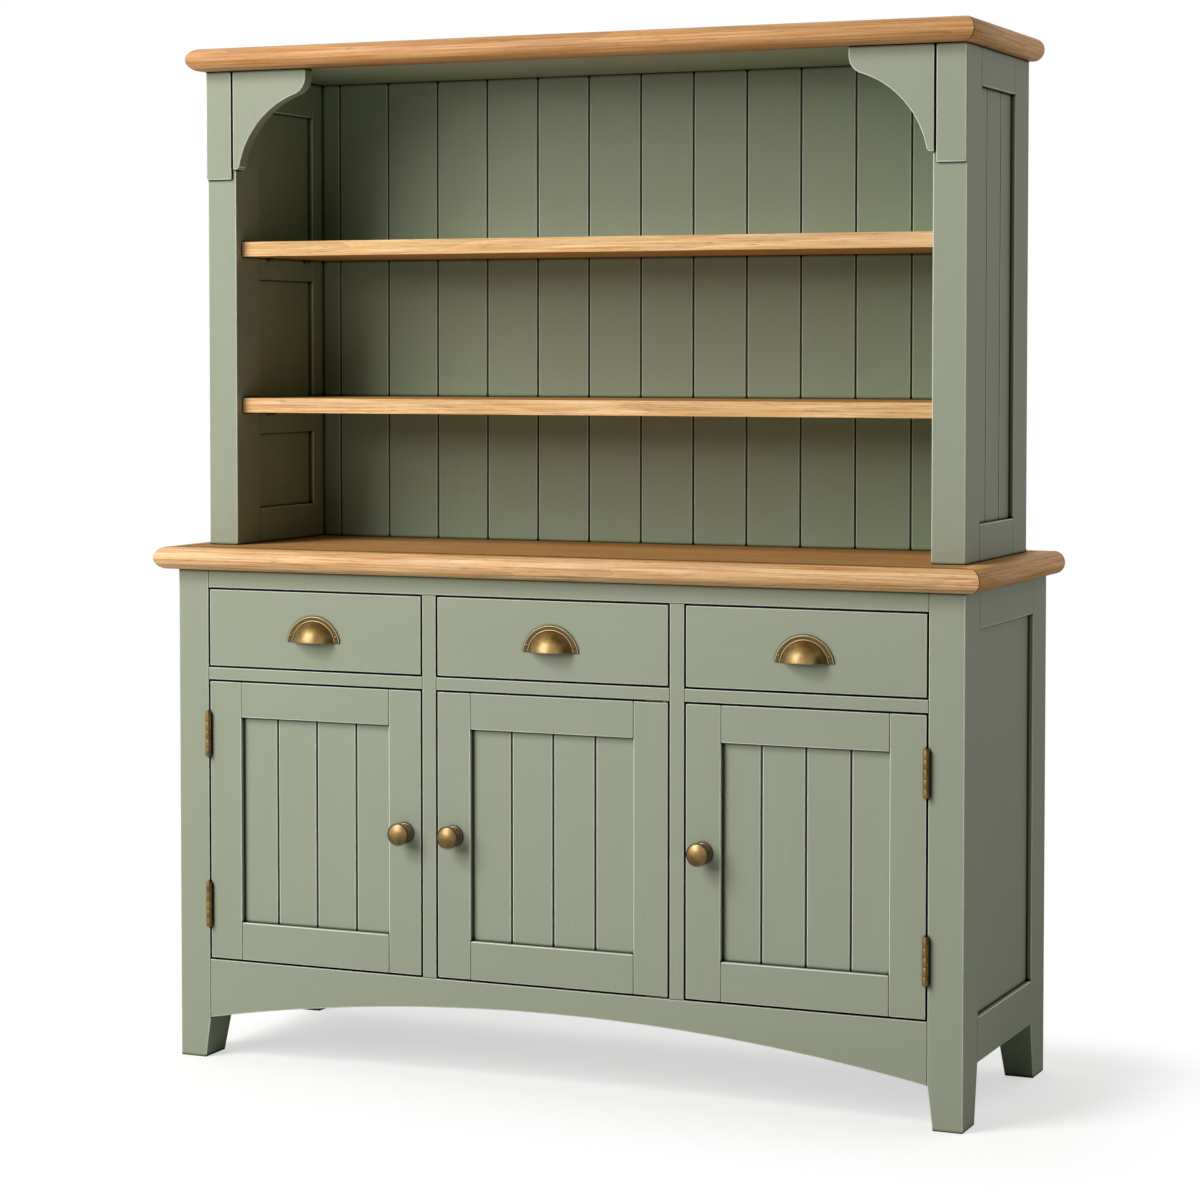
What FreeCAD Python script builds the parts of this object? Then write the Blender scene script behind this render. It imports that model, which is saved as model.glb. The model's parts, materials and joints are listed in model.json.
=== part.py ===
"""A painted dresser with oak tops: three drawers over three doors, and an open plate rack above.

Millimetres. +X is the viewer's right, +Y the back and +Z up. The origin is on the floor, in the middle
of the plan, and the front faces -Y.
"""
import FreeCAD, Part
import math
import os
from types import SimpleNamespace

import Sketcher

SIZES = {
    # Base frame
    "base_width": 1400,
    "base_depth": 472,
    "counter_height": 880,
    "counter_thickness": 38,
    "counter_overhang": 32,
    "lipping_width": 45,
    "leg_width": 58,
    "leg_depth": 80,
    "foot_taper_front": 9,
    "foot_taper_side": 16,
    "frame_thickness": 22,
    "centre_bay": 418,
    "muntin_width": 25,
    "top_rail_height": 31,
    "drawer_opening": 136.5,
    "mid_rail_height": 21,
    "apron_top": 171,
    "apron_end": 70,
    "arch_rise": 59,
    "side_rail_low": 95,
    "side_bottom_rail": 72,
    "side_top_rail": 62,
    "panel_thickness": 9,
    "panel_recess": 9,
    "panel_groove": 8,
    "tenon_length": 20,
    "tenon_thickness": 9,
    "stub_length": 10,
    "stub_shoulder": 5,
    "shoulder_step": 2,
    "board_thickness": 18,
    "batten_width": 15,
    "batten_height": 20,
    "cupboard_shelf_rise": 250,
    "runner_width": 40,
    # Drawers
    "front_gap": 3,
    "drawer_side_thickness": 12,
    "drawer_side_height": 110,
    "drawer_rear_gap": 38,
    "drawer_side_play": 2,
    "drawer_tongue": 8,
    "drawer_bottom_thickness": 6,
    "drawer_bottom_rise": 10,
    "drawer_bottom_groove": 6,
    "pull_width": 100,
    "pull_height": 43.5,
    "pull_dome_width": 79,
    "pull_dome_height": 35,
    "pull_projection": 26,
    "pull_plate": 1.6,
    "pull_bead_width": 1.6,
    "pull_bead_rise": 1,
    "pull_wall": 2,
    "pull_drop": 18.5,
    # Doors
    "door_stile": 60,
    "door_top_rail": 60,
    "door_bottom_rail": 64,
    "door_panel_recess": 10,
    "door_panel_thickness": 8,
    "door_board_pitch": 75,
    "vee_width": 5,
    "vee_depth": 3,
    "knob_diameter": 38,
    "knob_projection": 32,
    "knob_dome": 4.5,
    "knob_ledge": 2,
    "knob_rim": 3,
    "knob_neck": 17,
    "knob_neck_end": 17,
    "rosette_diameter": 33,
    "rosette_thickness": 2.5,
    "rosette_step": 3,
    "rosette_tier": 2.5,
    "rosette_cone": 3,
    "hinge_length": 75,
    "hinge_inset": 54,
    "knuckle_diameter": 10,
    "knuckle_stand": 0.3,
    "leaf_width": 18,
    "leaf_play": 0.2,
    "pin_diameter": 5,
    "pin_head_diameter": 8,
    "pin_head_height": 2,
    "pin_clearance": 0.05,
    "pivot_inset": 6,
    "pivot_pin_diameter": 4,
    "pivot_pin_length": 9,
    "pivot_plate_length": 40,
    "pivot_plate_width": 12,
    "bush_diameter": 7,
    "bush_flange": 10,
    "bush_length": 12,
    "catch_width": 40,
    "catch_depth": 14,
    "catch_height": 14,
    "strike_thickness": 1.2,
    "strike_height": 10,
    # Hutch
    "hutch_inset": 21.5,
    "hutch_setback": 69,
    "hutch_depth": 354,
    "hutch_height": 814,
    "post_width": 55,
    "post_depth": 80,
    "hutch_top_rail": 61,
    "hutch_bottom_rail": 60,
    "hutch_recess": 8,
    "side_board_pitch": 78,
    "back_setting": 41,
    "back_thickness": 12,
    "back_board_pitch": 98,
    "shelf_thickness": 25,
    "shelf_setback": 19,
    "lower_shelf_rise": 228.5,
    "upper_shelf_rise": 497.5,
    "shelf_rail_height": 60,
    "shelf_rail_drop": 38,
    "shelf_pin_diameter": 6,
    "shelf_pin_length": 12,
    "shelf_pin_inset": 30,
    "ceiling_thickness": 12,
    "head_height": 185,
    "head_proud": 5,
    "head_rebate": 6.5,
    "bracket_reach": 138,
    "bracket_height": 168,
    "bracket_thickness": 25,
    "bracket_lip": 2.7,
    "bracket_nose": 14,
    "bracket_nose_radius": 30,
    "bracket_cusp_in": 18,
    "bracket_cusp_drop": 42,
    "bracket_radius": 160,
    "bracket_tip": 9,
    "bracket_tip_ease": 4,
    "cornice_thickness": 38,
    "cornice_front": 38,
    "cornice_side": 22,
    "cornice_rear": 15,
    "angle_length": 40,
    "angle_width": 36,
    "angle_thickness": 3,
    "angle_hole_diameter": 5,
    "angle_hole_reach": 26,
    "angle_hole_spacing": 18,
}

VIEWER_LEFT = -1
VIEWER_RIGHT = 1
X, Y, Z = range(3)
KNUCKLE_COUNT = 5
SIDE_GROOVE_COUNT = 2

doc = FreeCAD.newDocument("dresser")
nodes = []


class Size:
    """A length: its millimetres and the sheet expression that gives it."""

    def __init__(self, mm, text):
        self.mm = mm
        self.text = text

    def __add__(self, other):
        other = as_size(other)
        return Size(self.mm + other.mm, f"({self.text} + {other.text})")

    def __sub__(self, other):
        other = as_size(other)
        return Size(self.mm - other.mm, f"({self.text} - {other.text})")

    def __rsub__(self, other):
        return as_size(other) - self

    def __mul__(self, other):
        other = as_size(other)
        return Size(self.mm * other.mm, f"({self.text} * {other.text})")

    def __truediv__(self, other):
        other = as_size(other)
        return Size(self.mm / other.mm, f"({self.text} / {other.text})")

    def __neg__(self):
        return Size(-self.mm, f"(0 - {self.text})")

    __radd__ = __add__
    __rmul__ = __mul__


def as_size(thing):
    """A plain number counts as a size too."""
    return thing if isinstance(thing, Size) else Size(float(thing), str(thing))


def fill_sheet(sizes):
    """The driving dimensions on their sheet, and the same sizes by name for the code below."""
    sheet = doc.addObject("Spreadsheet::Sheet", "Sizes")
    for row, (name, mm) in enumerate(sizes.items(), start=1):
        sheet.set(f"A{row}", name)
        sheet.set(f"B{row}", str(mm))
        sheet.setAlias(f"B{row}", name)
    doc.recompute()
    return SimpleNamespace(**{name: Size(float(sheet.get(name)), f"Sizes.{name}") for name in sizes})


class Places:
    """Worked-out lengths, kept on a second sheet under their own names."""

    def __init__(self):
        self.sheet = doc.addObject("Spreadsheet::Sheet", "Places")
        self.row = 0

    def __call__(self, name, size):
        self.row += 1
        self.sheet.set(f"A{self.row}", name)
        self.sheet.set(f"B{self.row}", f"={size.text}")
        self.sheet.setAlias(f"B{self.row}", name)
        return Size(size.mm, f"Places.{name}")


d = fill_sheet(SIZES)
place = Places()


def bind(thing, what, size):
    thing.setExpression(what, as_size(size).text)


def put(thing, low):
    """Binds where a piece stands."""
    for axis, at in zip("xyz", low):
        bind(thing, f"Placement.Base.{axis}", at)
    return thing


def board(name, low, size):
    """A square-edged board, from its low corner and its lengths along X, Y and Z."""
    box = doc.addObject("Part::Box", name)
    for side, length in zip(("Length", "Width", "Height"), size):
        bind(box, side, length)
    return put(box, low)


def between(name, low, high):
    """A square-edged board between two corners."""
    return board(name, low, [top - bottom for bottom, top in zip(low, high)])


def rod(name, low, radius, length, along=(0, 0, 1)):
    """A round bar whose lower end is centred at low."""
    bar = doc.addObject("Part::Cylinder", name)
    bind(bar, "Radius", radius)
    bind(bar, "Height", length)
    bar.Placement.Rotation = FreeCAD.Rotation(FreeCAD.Vector(0, 0, 1), FreeCAD.Vector(*along))
    return put(bar, low)


def group(name, pieces):
    """Separate solids kept together under one name."""
    compound = doc.addObject("Part::Compound", name)
    compound.Links = pieces
    return compound


def cut(name, base, tools):
    """A piece with housings, grooves or bores cut by other shapes."""
    result = doc.addObject("Part::Cut", name)
    result.Base = base
    result.Tool = tools[0] if len(tools) == 1 else group(f"{name}_cuts", tools)
    return result


def fuse(name, pieces):
    """One solid out of several that meet."""
    result = doc.addObject("Part::MultiFuse", name)
    result.Shapes = pieces
    result.Refine = True
    return result


def mirrored(name, source, normal=(1, 0, 0), centre=None):
    """The same piece made to the opposite hand, across X = 0 or another plane."""
    result = doc.addObject("Part::Mirroring", name)
    result.Source = source
    result.Normal = FreeCAD.Vector(*normal)
    for axis, at in (centre or {}).items():
        bind(result, f"Base.{axis}", at)
    return result


def node(label, thing):
    """Marks a finished sub-part: its label names its file."""
    thing.Label = label
    nodes.append(thing)
    return thing


def sketch_on(body, plane, name):
    """A sketch on one of a body's own origin planes."""
    sketch = body.newObject("Sketcher::SketchObject", name)
    support = next(feature for feature in body.Origin.OriginFeatures if feature.Role == plane)
    sketch.AttachmentSupport = [(support, "")]
    sketch.MapMode = "FlatFace"
    return sketch


def arc_between(start, end, radius):
    """The short arc from start to end; a positive radius turns left. Also says which end comes first."""
    chord = end - start
    half = chord.Length / 2
    left = FreeCAD.Vector(-chord.y, chord.x, 0).normalize()
    reach = math.sqrt(radius * radius - half * half)
    centre = (start + end) / 2 + left * math.copysign(reach, radius)
    first, last = (start, end) if radius > 0 else (end, start)
    angles = [math.atan2(point.y - centre.y, point.x - centre.x) for point in (first, last)]
    circle = Part.Circle(centre, FreeCAD.Vector(0, 0, 1), abs(radius))
    return Part.ArcOfCircle(circle, *angles), (1, 2) if radius > 0 else (2, 1)


def outline(sketch, corners):
    """Closed outline through corners (x, y); a third value is the radius of the arc that follows.

    Every corner is dimensioned from the sketch's origin. A fourth value of -1 marks a right-hand arc.
    """
    points = [FreeCAD.Vector(as_size(corner[0]).mm, as_size(corner[1]).mm, 0) for corner in corners]
    ends = []
    for index, corner in enumerate(corners):
        start = points[index]
        end = points[(index + 1) % len(points)]
        if len(corner) == 2:
            sketch.addGeometry(Part.LineSegment(start, end), False)
            ends.append((1, 2))
        else:
            turn = corner[3] if len(corner) == 4 else 1
            arc, order = arc_between(start, end, corner[2].mm * turn)
            sketch.addGeometry(arc, False)
            ends.append(order)
    for index, corner in enumerate(corners):
        following = (index + 1) % len(corners)
        joint = Sketcher.Constraint("Coincident", index, ends[index][1], following, ends[following][0])
        sketch.addConstraint(joint)
        for kind, at in zip(("DistanceX", "DistanceY"), corner[:2]):
            at = as_size(at)
            made = sketch.addConstraint(Sketcher.Constraint(kind, -1, 1, index, ends[index][0], at.mm))
            bind(sketch, f"Constraints[{made}]", at)
        if len(corner) > 2:
            made = sketch.addConstraint(Sketcher.Constraint("Radius", index, corner[2].mm))
            bind(sketch, f"Constraints[{made}]", corner[2])
    return sketch


def arc_radius(half_chord, height):
    """Radius of the arc that stands a height above the middle of its chord."""
    return (half_chord * half_chord + height * height) / (height * 2)


def padded(body, plane, corners, length, back=False, tag="pad"):
    """A pad of an outline, along the plane's normal or against it."""
    pad = body.newObject("PartDesign::Pad", f"{body.Name}_{tag}")
    pad.Profile = outline(sketch_on(body, plane, f"{body.Name}_{tag}_outline"), corners)
    bind(pad, "Length", length)
    pad.Reversed = back
    return pad


def pocketed(body, plane, corners, tag):
    """An outline cut right through a body, both ways from its plane."""
    pocket = body.newObject("PartDesign::Pocket", f"{body.Name}_{tag}")
    pocket.Profile = outline(sketch_on(body, plane, f"{body.Name}_{tag}_outline"), corners)
    pocket.Type = "ThroughAll"
    pocket.Midplane = True
    return pocket


def tenon_pair(name, low, size, run, thin, length, shoulder):
    """The tenons on both ends of a rail that runs along one axis and is thin along another."""
    broad = X + Y + Z - run - thin
    pair = []
    for tag, start in (("near", low[run] - length), ("far", low[run] + size[run])):
        at = list(low)
        by = list(size)
        at[run] = start
        by[run] = length
        at[thin] = low[thin] + (size[thin] - d.tenon_thickness) / 2
        by[thin] = d.tenon_thickness
        at[broad] = low[broad] + shoulder
        by[broad] = size[broad] - shoulder * 2
        pair.append(board(f"{name}_{tag}_tenon", at, by))
    return pair


def tenoned(name, low, size, run, thin, length, shoulder, housings=()):
    """A rail with a tenon on both ends, and any housings cut in it. Returns it and its two tenons."""
    tenons = tenon_pair(name, low, size, run, thin, length, shoulder)
    rail = fuse(f"{name}_tenoned", [board(f"{name}_blank", low, size)] + tenons)
    if housings:
        rail = cut(f"{name}_housed", rail, list(housings))
    return rail, tenons


def grooved_panel(name, low, size, pitch, count, faces_left=False):
    """A panel with V-grooves between its boards, on its front or on its left face."""
    wide = size[Y] if faces_left else size[X]
    thick = size[X] if faces_left else size[Y]
    body = doc.addObject("PartDesign::Body", name)
    padded(body, "XZ_Plane", [(0, 0), (wide, 0), (wide, size[Z]), (0, size[Z])], thick, back=True)
    first = (wide - pitch * (count - 1)) / 2
    half = d.vee_width / 2
    vee = [(first - half, 0), (first + half, 0), (first, d.vee_depth)]
    groove = pocketed(body, "XY_Plane", vee, "groove")
    pattern = body.newObject("PartDesign::LinearPattern", f"{name}_grooves")
    pattern.Originals = [groove]
    pattern.Direction = (groove.Profile[0], ["H_Axis"])
    pattern.Mode = "Spacing"
    bind(pattern, "Offset", pitch)
    pattern.Occurrences = count
    body.Tip = pattern
    if faces_left:
        body.Placement.Rotation = FreeCAD.Rotation(FreeCAD.Vector(0, 0, 1), -90)
        return put(body, [low[X], low[Y] + wide, low[Z]])
    return put(body, low)


def groove_count(wide, pitch):
    """How many grooves an odd pattern, one of them in the middle, has room for."""
    return 2 * int((wide.mm / 2 - d.vee_width.mm) // pitch.mm) + 1


# Levels and faces that the pieces share
front = place("front", (d.counter_overhang - d.base_depth) / 2)
back = place("back", front + d.base_depth)
side = place("side", d.base_width / 2)
leg_inside = place("leg_inside", side - d.leg_width)
muntin_inside = place("muntin_inside", d.centre_bay / 2)
muntin_outside = place("muntin_outside", muntin_inside + d.muntin_width)
frame_back = place("frame_back", front + d.frame_thickness)
rear_frame = place("rear_frame", back - d.frame_thickness)
under_counter = place("under_counter", d.counter_height - d.counter_thickness)
drawer_head = place("drawer_head", under_counter - d.top_rail_height)
drawer_sill = place("drawer_sill", drawer_head - d.drawer_opening)
door_head = place("door_head", drawer_sill - d.mid_rail_height)
door_low = place("door_low", d.apron_top + d.front_gap)
door_high = place("door_high", door_head - d.front_gap)
partition_inside = place("partition_inside", muntin_inside + (d.muntin_width - d.board_thickness) / 2)
partition_outside = place("partition_outside", partition_inside + d.board_thickness)
panel_shoulder = place("panel_shoulder", d.panel_groove + d.shoulder_step)
side_panel_low = place("side_panel_low", d.side_rail_low + d.side_bottom_rail)
side_panel_high = place("side_panel_high", under_counter - d.side_top_rail)

hutch_side = place("hutch_side", side - d.hutch_inset)
post_inside = place("post_inside", hutch_side - d.post_width)
hutch_front = place("hutch_front", front + d.hutch_setback)
hutch_back = place("hutch_back", hutch_front + d.hutch_depth)
hutch_top = place("hutch_top", d.counter_height + d.hutch_height)
post_back = place("post_back", hutch_front + d.post_depth)
rear_post_front = place("rear_post_front", hutch_back - d.post_depth)
back_face = place("back_face", hutch_back - d.back_setting)
cornice_half = place("cornice_half", hutch_side + d.cornice_side)
cornice_near = place("cornice_near", hutch_front - d.cornice_front)
cornice_far = place("cornice_far", hutch_back + d.cornice_rear)

BAYS = {
    "left": (-leg_inside, -muntin_outside),
    "middle": (-muntin_inside, muntin_inside),
    "right": (muntin_outside, leg_inside),
}
RAIL_LEVELS = {"bottom": (d.side_rail_low, side_panel_low), "top": (side_panel_high, under_counter)}
SHELF_RISES = {"lower": d.lower_shelf_rise, "upper": d.upper_shelf_rise}


def leg_blank():
    """The front left leg before its joints: a square post whose two inner faces taper at the foot."""
    body = doc.addObject("PartDesign::Body", "leg_blank")
    section = [(0, 0), (d.leg_width, 0), (d.leg_width, d.leg_depth), (0, d.leg_depth)]
    padded(body, "XY_Plane", section, under_counter)
    foot = d.leg_width - d.foot_taper_front
    pocketed(body, "XZ_Plane", [(foot, 0), (d.leg_width, 0), (d.leg_width, d.apron_end)], "front_taper")
    heel = d.leg_depth - d.foot_taper_side
    pocketed(body, "YZ_Plane", [(heel, 0), (d.leg_depth, 0), (d.leg_depth, d.side_rail_low)], "side_taper")
    return put(body, [-side, front, 0])


def front_frame():
    """Top rail, arched apron, muntins and mid rails, flush with the legs. Returns the legs' mortises."""
    thick = d.frame_thickness
    clear = leg_inside * 2
    tall = drawer_head - d.apron_top
    muntins = []
    muntin_tenons = []
    for tag, at in (("left", -muntin_outside), ("right", muntin_inside)):
        size = [d.muntin_width, thick, tall]
        shoulder = d.stub_shoulder
        low = [at, front, d.apron_top]
        muntin, ends = tenoned(f"muntin_{tag}", low, size, Z, Y, d.stub_length, shoulder)
        muntins.append(muntin)
        muntin_tenons += ends
    mid_rails = []
    mid_tenons = []
    for tag, (left, right) in BAYS.items():
        low = [left, front, door_head]
        size = [right - left, thick, d.mid_rail_height]
        rail, ends = tenoned(f"mid_rail_{tag}", low, size, X, Y, d.stub_length, d.stub_shoulder)
        mid_rails.append(rail)
        mid_tenons += ends
    muntins = [cut(f"{muntin.Name}_mortised", muntin, mid_tenons) for muntin in muntins]

    low = [-leg_inside, front, drawer_head]
    size = [clear, thick, d.top_rail_height]
    long = d.tenon_length
    top_rail, mortises = tenoned("top_rail", low, size, X, Y, long, d.stub_shoulder, muntin_tenons)

    body = doc.addObject("PartDesign::Body", "apron_arch")
    radius = arc_radius(leg_inside, d.arch_rise)
    edge = d.apron_top - d.apron_end
    arch = [(clear, 0), (clear, edge), (0, edge), (0, 0, radius, -1)]
    padded(body, "XZ_Plane", arch, thick, back=True)
    put(body, [-leg_inside, front, d.apron_end])
    low = [-leg_inside, front, d.apron_end]
    tenons = tenon_pair("apron", low, [clear, thick, edge], X, Y, long, d.stub_shoulder)
    apron = cut("apron_mortised", fuse("apron_tenoned", [body] + tenons), muntin_tenons)

    node("front_top_rail", top_rail)
    node("front_apron", apron)
    node("front_muntins", group("muntins", muntins))
    node("front_mid_rails", group("mid_rails", mid_rails))
    return mortises + tenons + mid_tenons


def side_frame():
    """The left side's two rails and flat panel. Returns them, and what the legs house of them."""
    thick = d.frame_thickness
    near = front + d.leg_depth
    far = back - d.leg_depth
    groove = d.panel_groove
    face = d.panel_recess - side
    low = [face, near - groove, side_panel_low - groove]
    high = [face + d.panel_thickness, far + groove, side_panel_high + groove]
    panel = between("side_panel", low, high)
    rails = []
    housed = [panel]
    for tag, (at, top) in RAIL_LEVELS.items():
        size = [thick, far - near, top - at]
        low = [-side, near, at]
        rail, ends = tenoned(f"side_{tag}_rail", low, size, Y, X, d.tenon_length, panel_shoulder, [panel])
        rails.append(rail)
        housed += ends
    return rails, panel, housed


def back_frame():
    """Rails and panel between the rear legs. Returns the rails' tenons and the panel."""
    thick = d.frame_thickness
    groove = d.panel_groove
    near = rear_frame + (thick - d.panel_thickness) / 2
    low = [-leg_inside - groove, near, side_panel_low - groove]
    high = [leg_inside + groove, near + d.panel_thickness, side_panel_high + groove]
    panel = between("back_panel", low, high)
    rails = []
    housed = [panel]
    for tag, (at, top) in RAIL_LEVELS.items():
        size = [leg_inside * 2, thick, top - at]
        low = [-leg_inside, rear_frame, at]
        rail, ends = tenoned(f"back_{tag}_rail", low, size, X, Y, d.tenon_length, panel_shoulder, [panel])
        rails.append(rail)
        housed += ends
    node("base_back_rails", group("back_rails", rails))
    node("base_back_panel", panel)
    return housed


def base_frame():
    """Legs, rails and panels of the base, joined by tenons and grooves."""
    front_joints = front_frame()
    rails, panel, side_joints = side_frame()
    back_joints = back_frame()
    blank = leg_blank()
    rear_blank = mirrored("rear_leg_blank", blank, (0, 1, 0), {"y": (front + back) / 2})
    front_leg = cut("front_leg", blank, front_joints + side_joints)
    rear_leg = cut("rear_leg", rear_blank, back_joints + side_joints)
    node("front_leg_left", front_leg)
    node("front_leg_right", mirrored("front_leg_mirrored", front_leg))
    node("rear_legs", group("rear_leg_pair", [rear_leg, mirrored("rear_leg_mirrored", rear_leg)]))
    other_rails = [mirrored(f"{rail.Name}_mirrored", rail) for rail in rails]
    node("base_side_rails", group("side_rails", rails + other_rails))
    node("base_side_panels", group("side_panels", [panel, mirrored("side_panel_mirrored", panel)]))


def base_inside():
    """Floor, partitions, shelves and the strips that the drawers run on and under."""
    thick = d.board_thickness
    near = front + d.leg_depth
    far = back - d.leg_depth
    rail_inside = side - d.frame_thickness
    floor_low = d.apron_top - thick
    body = doc.addObject("PartDesign::Body", "floor_board")
    corners = [
        (-leg_inside, frame_back), (leg_inside, frame_back), (leg_inside, near), (rail_inside, near),
        (rail_inside, far), (leg_inside, far), (leg_inside, rear_frame), (-leg_inside, rear_frame),
        (-leg_inside, far), (-rail_inside, far), (-rail_inside, near), (-leg_inside, near),
    ]
    padded(body, "XY_Plane", corners, thick)
    node("cabinet_floor", put(body, [0, 0, floor_low]))

    low = [partition_inside, frame_back, d.apron_top]
    partition = between("partition", low, [partition_outside, rear_frame, under_counter])
    node("cabinet_partitions", group("partitions", [partition, mirrored("partition_mirrored", partition)]))

    panel_inside = side - d.panel_recess - d.panel_thickness
    shelf_low = d.apron_top + d.cupboard_shelf_rise
    spans = [(-panel_inside, -partition_outside), (-partition_inside, partition_inside),
             (partition_outside, panel_inside)]
    shelves = []
    battens = []
    for (left, right), tag in zip(spans, BAYS):
        shelves.append(between(f"shelf_{tag}", [left, near, shelf_low], [right, far, shelf_low + thick]))
        for end, at in (("left", left), ("right", right - d.batten_width)):
            size = [d.batten_width, far - near, d.batten_height]
            battens.append(board(f"batten_{tag}_{end}", [at, near, shelf_low - d.batten_height], size))
    node("cupboard_shelves", group("shelves", shelves))
    node("shelf_battens", group("battens", battens))

    edges = {
        "left": (-leg_inside, -partition_outside),
        "middle": (-partition_inside, partition_inside),
        "right": (partition_outside, leg_inside),
    }
    runners = []
    kickers = []
    for tag, (left, right) in edges.items():
        for end, at in (("left", left), ("right", right - d.runner_width)):
            plan = [d.runner_width, rear_frame - frame_back]
            low = [at, frame_back, door_head]
            runners.append(board(f"runner_{tag}_{end}", low, plan + [d.mid_rail_height]))
            low = [at, frame_back, drawer_head]
            kickers.append(board(f"kicker_{tag}_{end}", low, plan + [d.top_rail_height]))
    node("drawer_runners", group("runners", runners))
    node("drawer_kickers", group("kickers", kickers))


def lipped_top(name, half, near, far, low, thick, board_thick):
    """An oak top: a board level with its bullnosed lippings, which go round three edges and are mitred."""
    wide = d.lipping_width
    nose = thick / 2
    low_board = [wide - half, near + wide, low + thick - board_thick]
    node(f"{name}_board", between(f"{name}_plank", low_board, [half - wide, far, low + thick]))

    strip = doc.addObject("PartDesign::Body", f"{name}_front_strip")
    profile = [(wide, 0), (wide, thick), (nose, thick, nose), (0, nose, nose), (nose, 0)]
    padded(strip, "YZ_Plane", profile, half * 2)
    for tag, tip, turn in (("left", 0, 1), ("right", half * 2, -1)):
        mitre = [(tip, 0), (tip + wide * turn, wide), (tip, wide)]
        pocketed(strip, "XY_Plane", mitre, f"{tag}_mitre")
    put(strip, [-half, near, low])

    end = doc.addObject("PartDesign::Body", f"{name}_end_strip")
    padded(end, "XZ_Plane", profile, far - near, back=True)
    pocketed(end, "XY_Plane", [(0, 0), (wide, 0), (wide, wide)], "mitre")
    put(end, [-half, near, low])
    strips = [strip, end, mirrored(f"{name}_end_mirrored", end)]
    node(f"{name}_lippings", group(f"{name}_strips", strips))


def hutch_sides():
    """Posts, rails and the outer and inner panels of both hutch sides."""
    groove = d.panel_groove
    thick = d.panel_thickness
    panel_low = d.counter_height + d.hutch_bottom_rail
    panel_high = hutch_top - d.hutch_top_rail
    panel_size = [thick, rear_post_front - post_back + groove * 2, panel_high - panel_low + groove * 2]
    outer_low = [d.hutch_recess - hutch_side, post_back - groove, panel_low - groove]
    inner_low = [-post_inside - d.hutch_recess - thick, post_back - groove, panel_low - groove]
    outer_blank = board("outer_panel_blank", outer_low, panel_size)
    inner_panel = board("inner_panel", inner_low, panel_size)
    pitch = d.side_board_pitch
    outer_panel = grooved_panel("outer_panel", outer_low, panel_size, pitch, SIDE_GROOVE_COUNT, faces_left=True)
    panels = [outer_blank, inner_panel]

    rails = []
    joints = list(panels)
    levels = (("bottom", d.counter_height, d.hutch_bottom_rail), ("top", panel_high, d.hutch_top_rail))
    for tag, at, tall in levels:
        low = [-hutch_side, post_back, at]
        size = [d.post_width, rear_post_front - post_back, tall]
        rail, ends = tenoned(f"hutch_{tag}_rail", low, size, Y, X, d.tenon_length, panel_shoulder, panels)
        rails.append(rail)
        joints += ends

    back_low = [-post_inside - groove, back_face, d.counter_height]
    back_size = [post_inside * 2 + groove * 2, d.back_thickness, d.hutch_height]
    back_blank = board("hutch_back_blank", back_low, back_size)
    count = groove_count(post_inside * 2, d.back_board_pitch)
    node("hutch_back_panel", grooved_panel("hutch_back", back_low, back_size, d.back_board_pitch, count))

    post_size = [d.post_width, d.post_depth, d.hutch_height]
    front_blank = board("front_post_blank", [-hutch_side, hutch_front, d.counter_height], post_size)
    rear_blank = board("rear_post_blank", [-hutch_side, rear_post_front, d.counter_height], post_size)
    front_post = cut("front_post", front_blank, joints)
    rear_post = cut("rear_post", rear_blank, joints + [back_blank])
    front_pair = [front_post, mirrored("front_post_mirrored", front_post)]
    node("hutch_front_posts", group("front_posts", front_pair))
    rear_pair = [rear_post, mirrored("rear_post_mirrored", rear_post)]
    node("hutch_rear_posts", group("rear_posts", rear_pair))
    other_rails = [mirrored(f"{rail.Name}_mirrored", rail) for rail in rails]
    node("hutch_side_rails", group("hutch_rails", rails + other_rails))
    outer_pair = [outer_panel, mirrored("outer_panel_mirrored", outer_panel)]
    node("hutch_outer_panels", group("outer_panels", outer_pair))
    inner_pair = [inner_panel, mirrored("inner_panel_mirrored", inner_panel)]
    node("hutch_inner_panels", group("inner_panels", inner_pair))


def hutch_shelves():
    """Two oak shelves, each on four pins let into a rail on the inside of each hutch side."""
    rails = []
    pins = []
    radius = d.shelf_pin_diameter / 2
    pin_places = {"front": post_back + d.shelf_pin_inset, "back": rear_post_front - d.shelf_pin_inset}
    for tag, rise in SHELF_RISES.items():
        under = d.counter_height + rise
        low = [-post_inside, hutch_front + d.shelf_setback, under]
        high = [post_inside, back_face, under + d.shelf_thickness]
        node(f"hutch_shelf_{tag}", between(f"{tag}_shelf", low, high))
        rail_low = [-post_inside - d.hutch_recess, post_back, under - d.shelf_rail_drop]
        rail_size = [d.hutch_recess, rear_post_front - post_back, d.shelf_rail_height]
        blank = board(f"{tag}_shelf_rail_blank", rail_low, rail_size)
        rail_pins = []
        for end, at in pin_places.items():
            start = [rail_low[X], at, under - radius]
            length = d.hutch_recess + d.shelf_pin_length
            rail_pins.append(rod(f"{tag}_{end}_pin", start, radius, length, (1, 0, 0)))
        rail = cut(f"{tag}_shelf_rail", blank, rail_pins)
        rails += [rail, mirrored(f"{tag}_shelf_rail_mirrored", rail)]
        pins += rail_pins + [mirrored(f"{pin.Name}_mirrored", pin) for pin in rail_pins]
    node("hutch_shelf_rails", group("shelf_rails", rails))
    node("hutch_shelf_pins", group("shelf_pins", pins))


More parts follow.
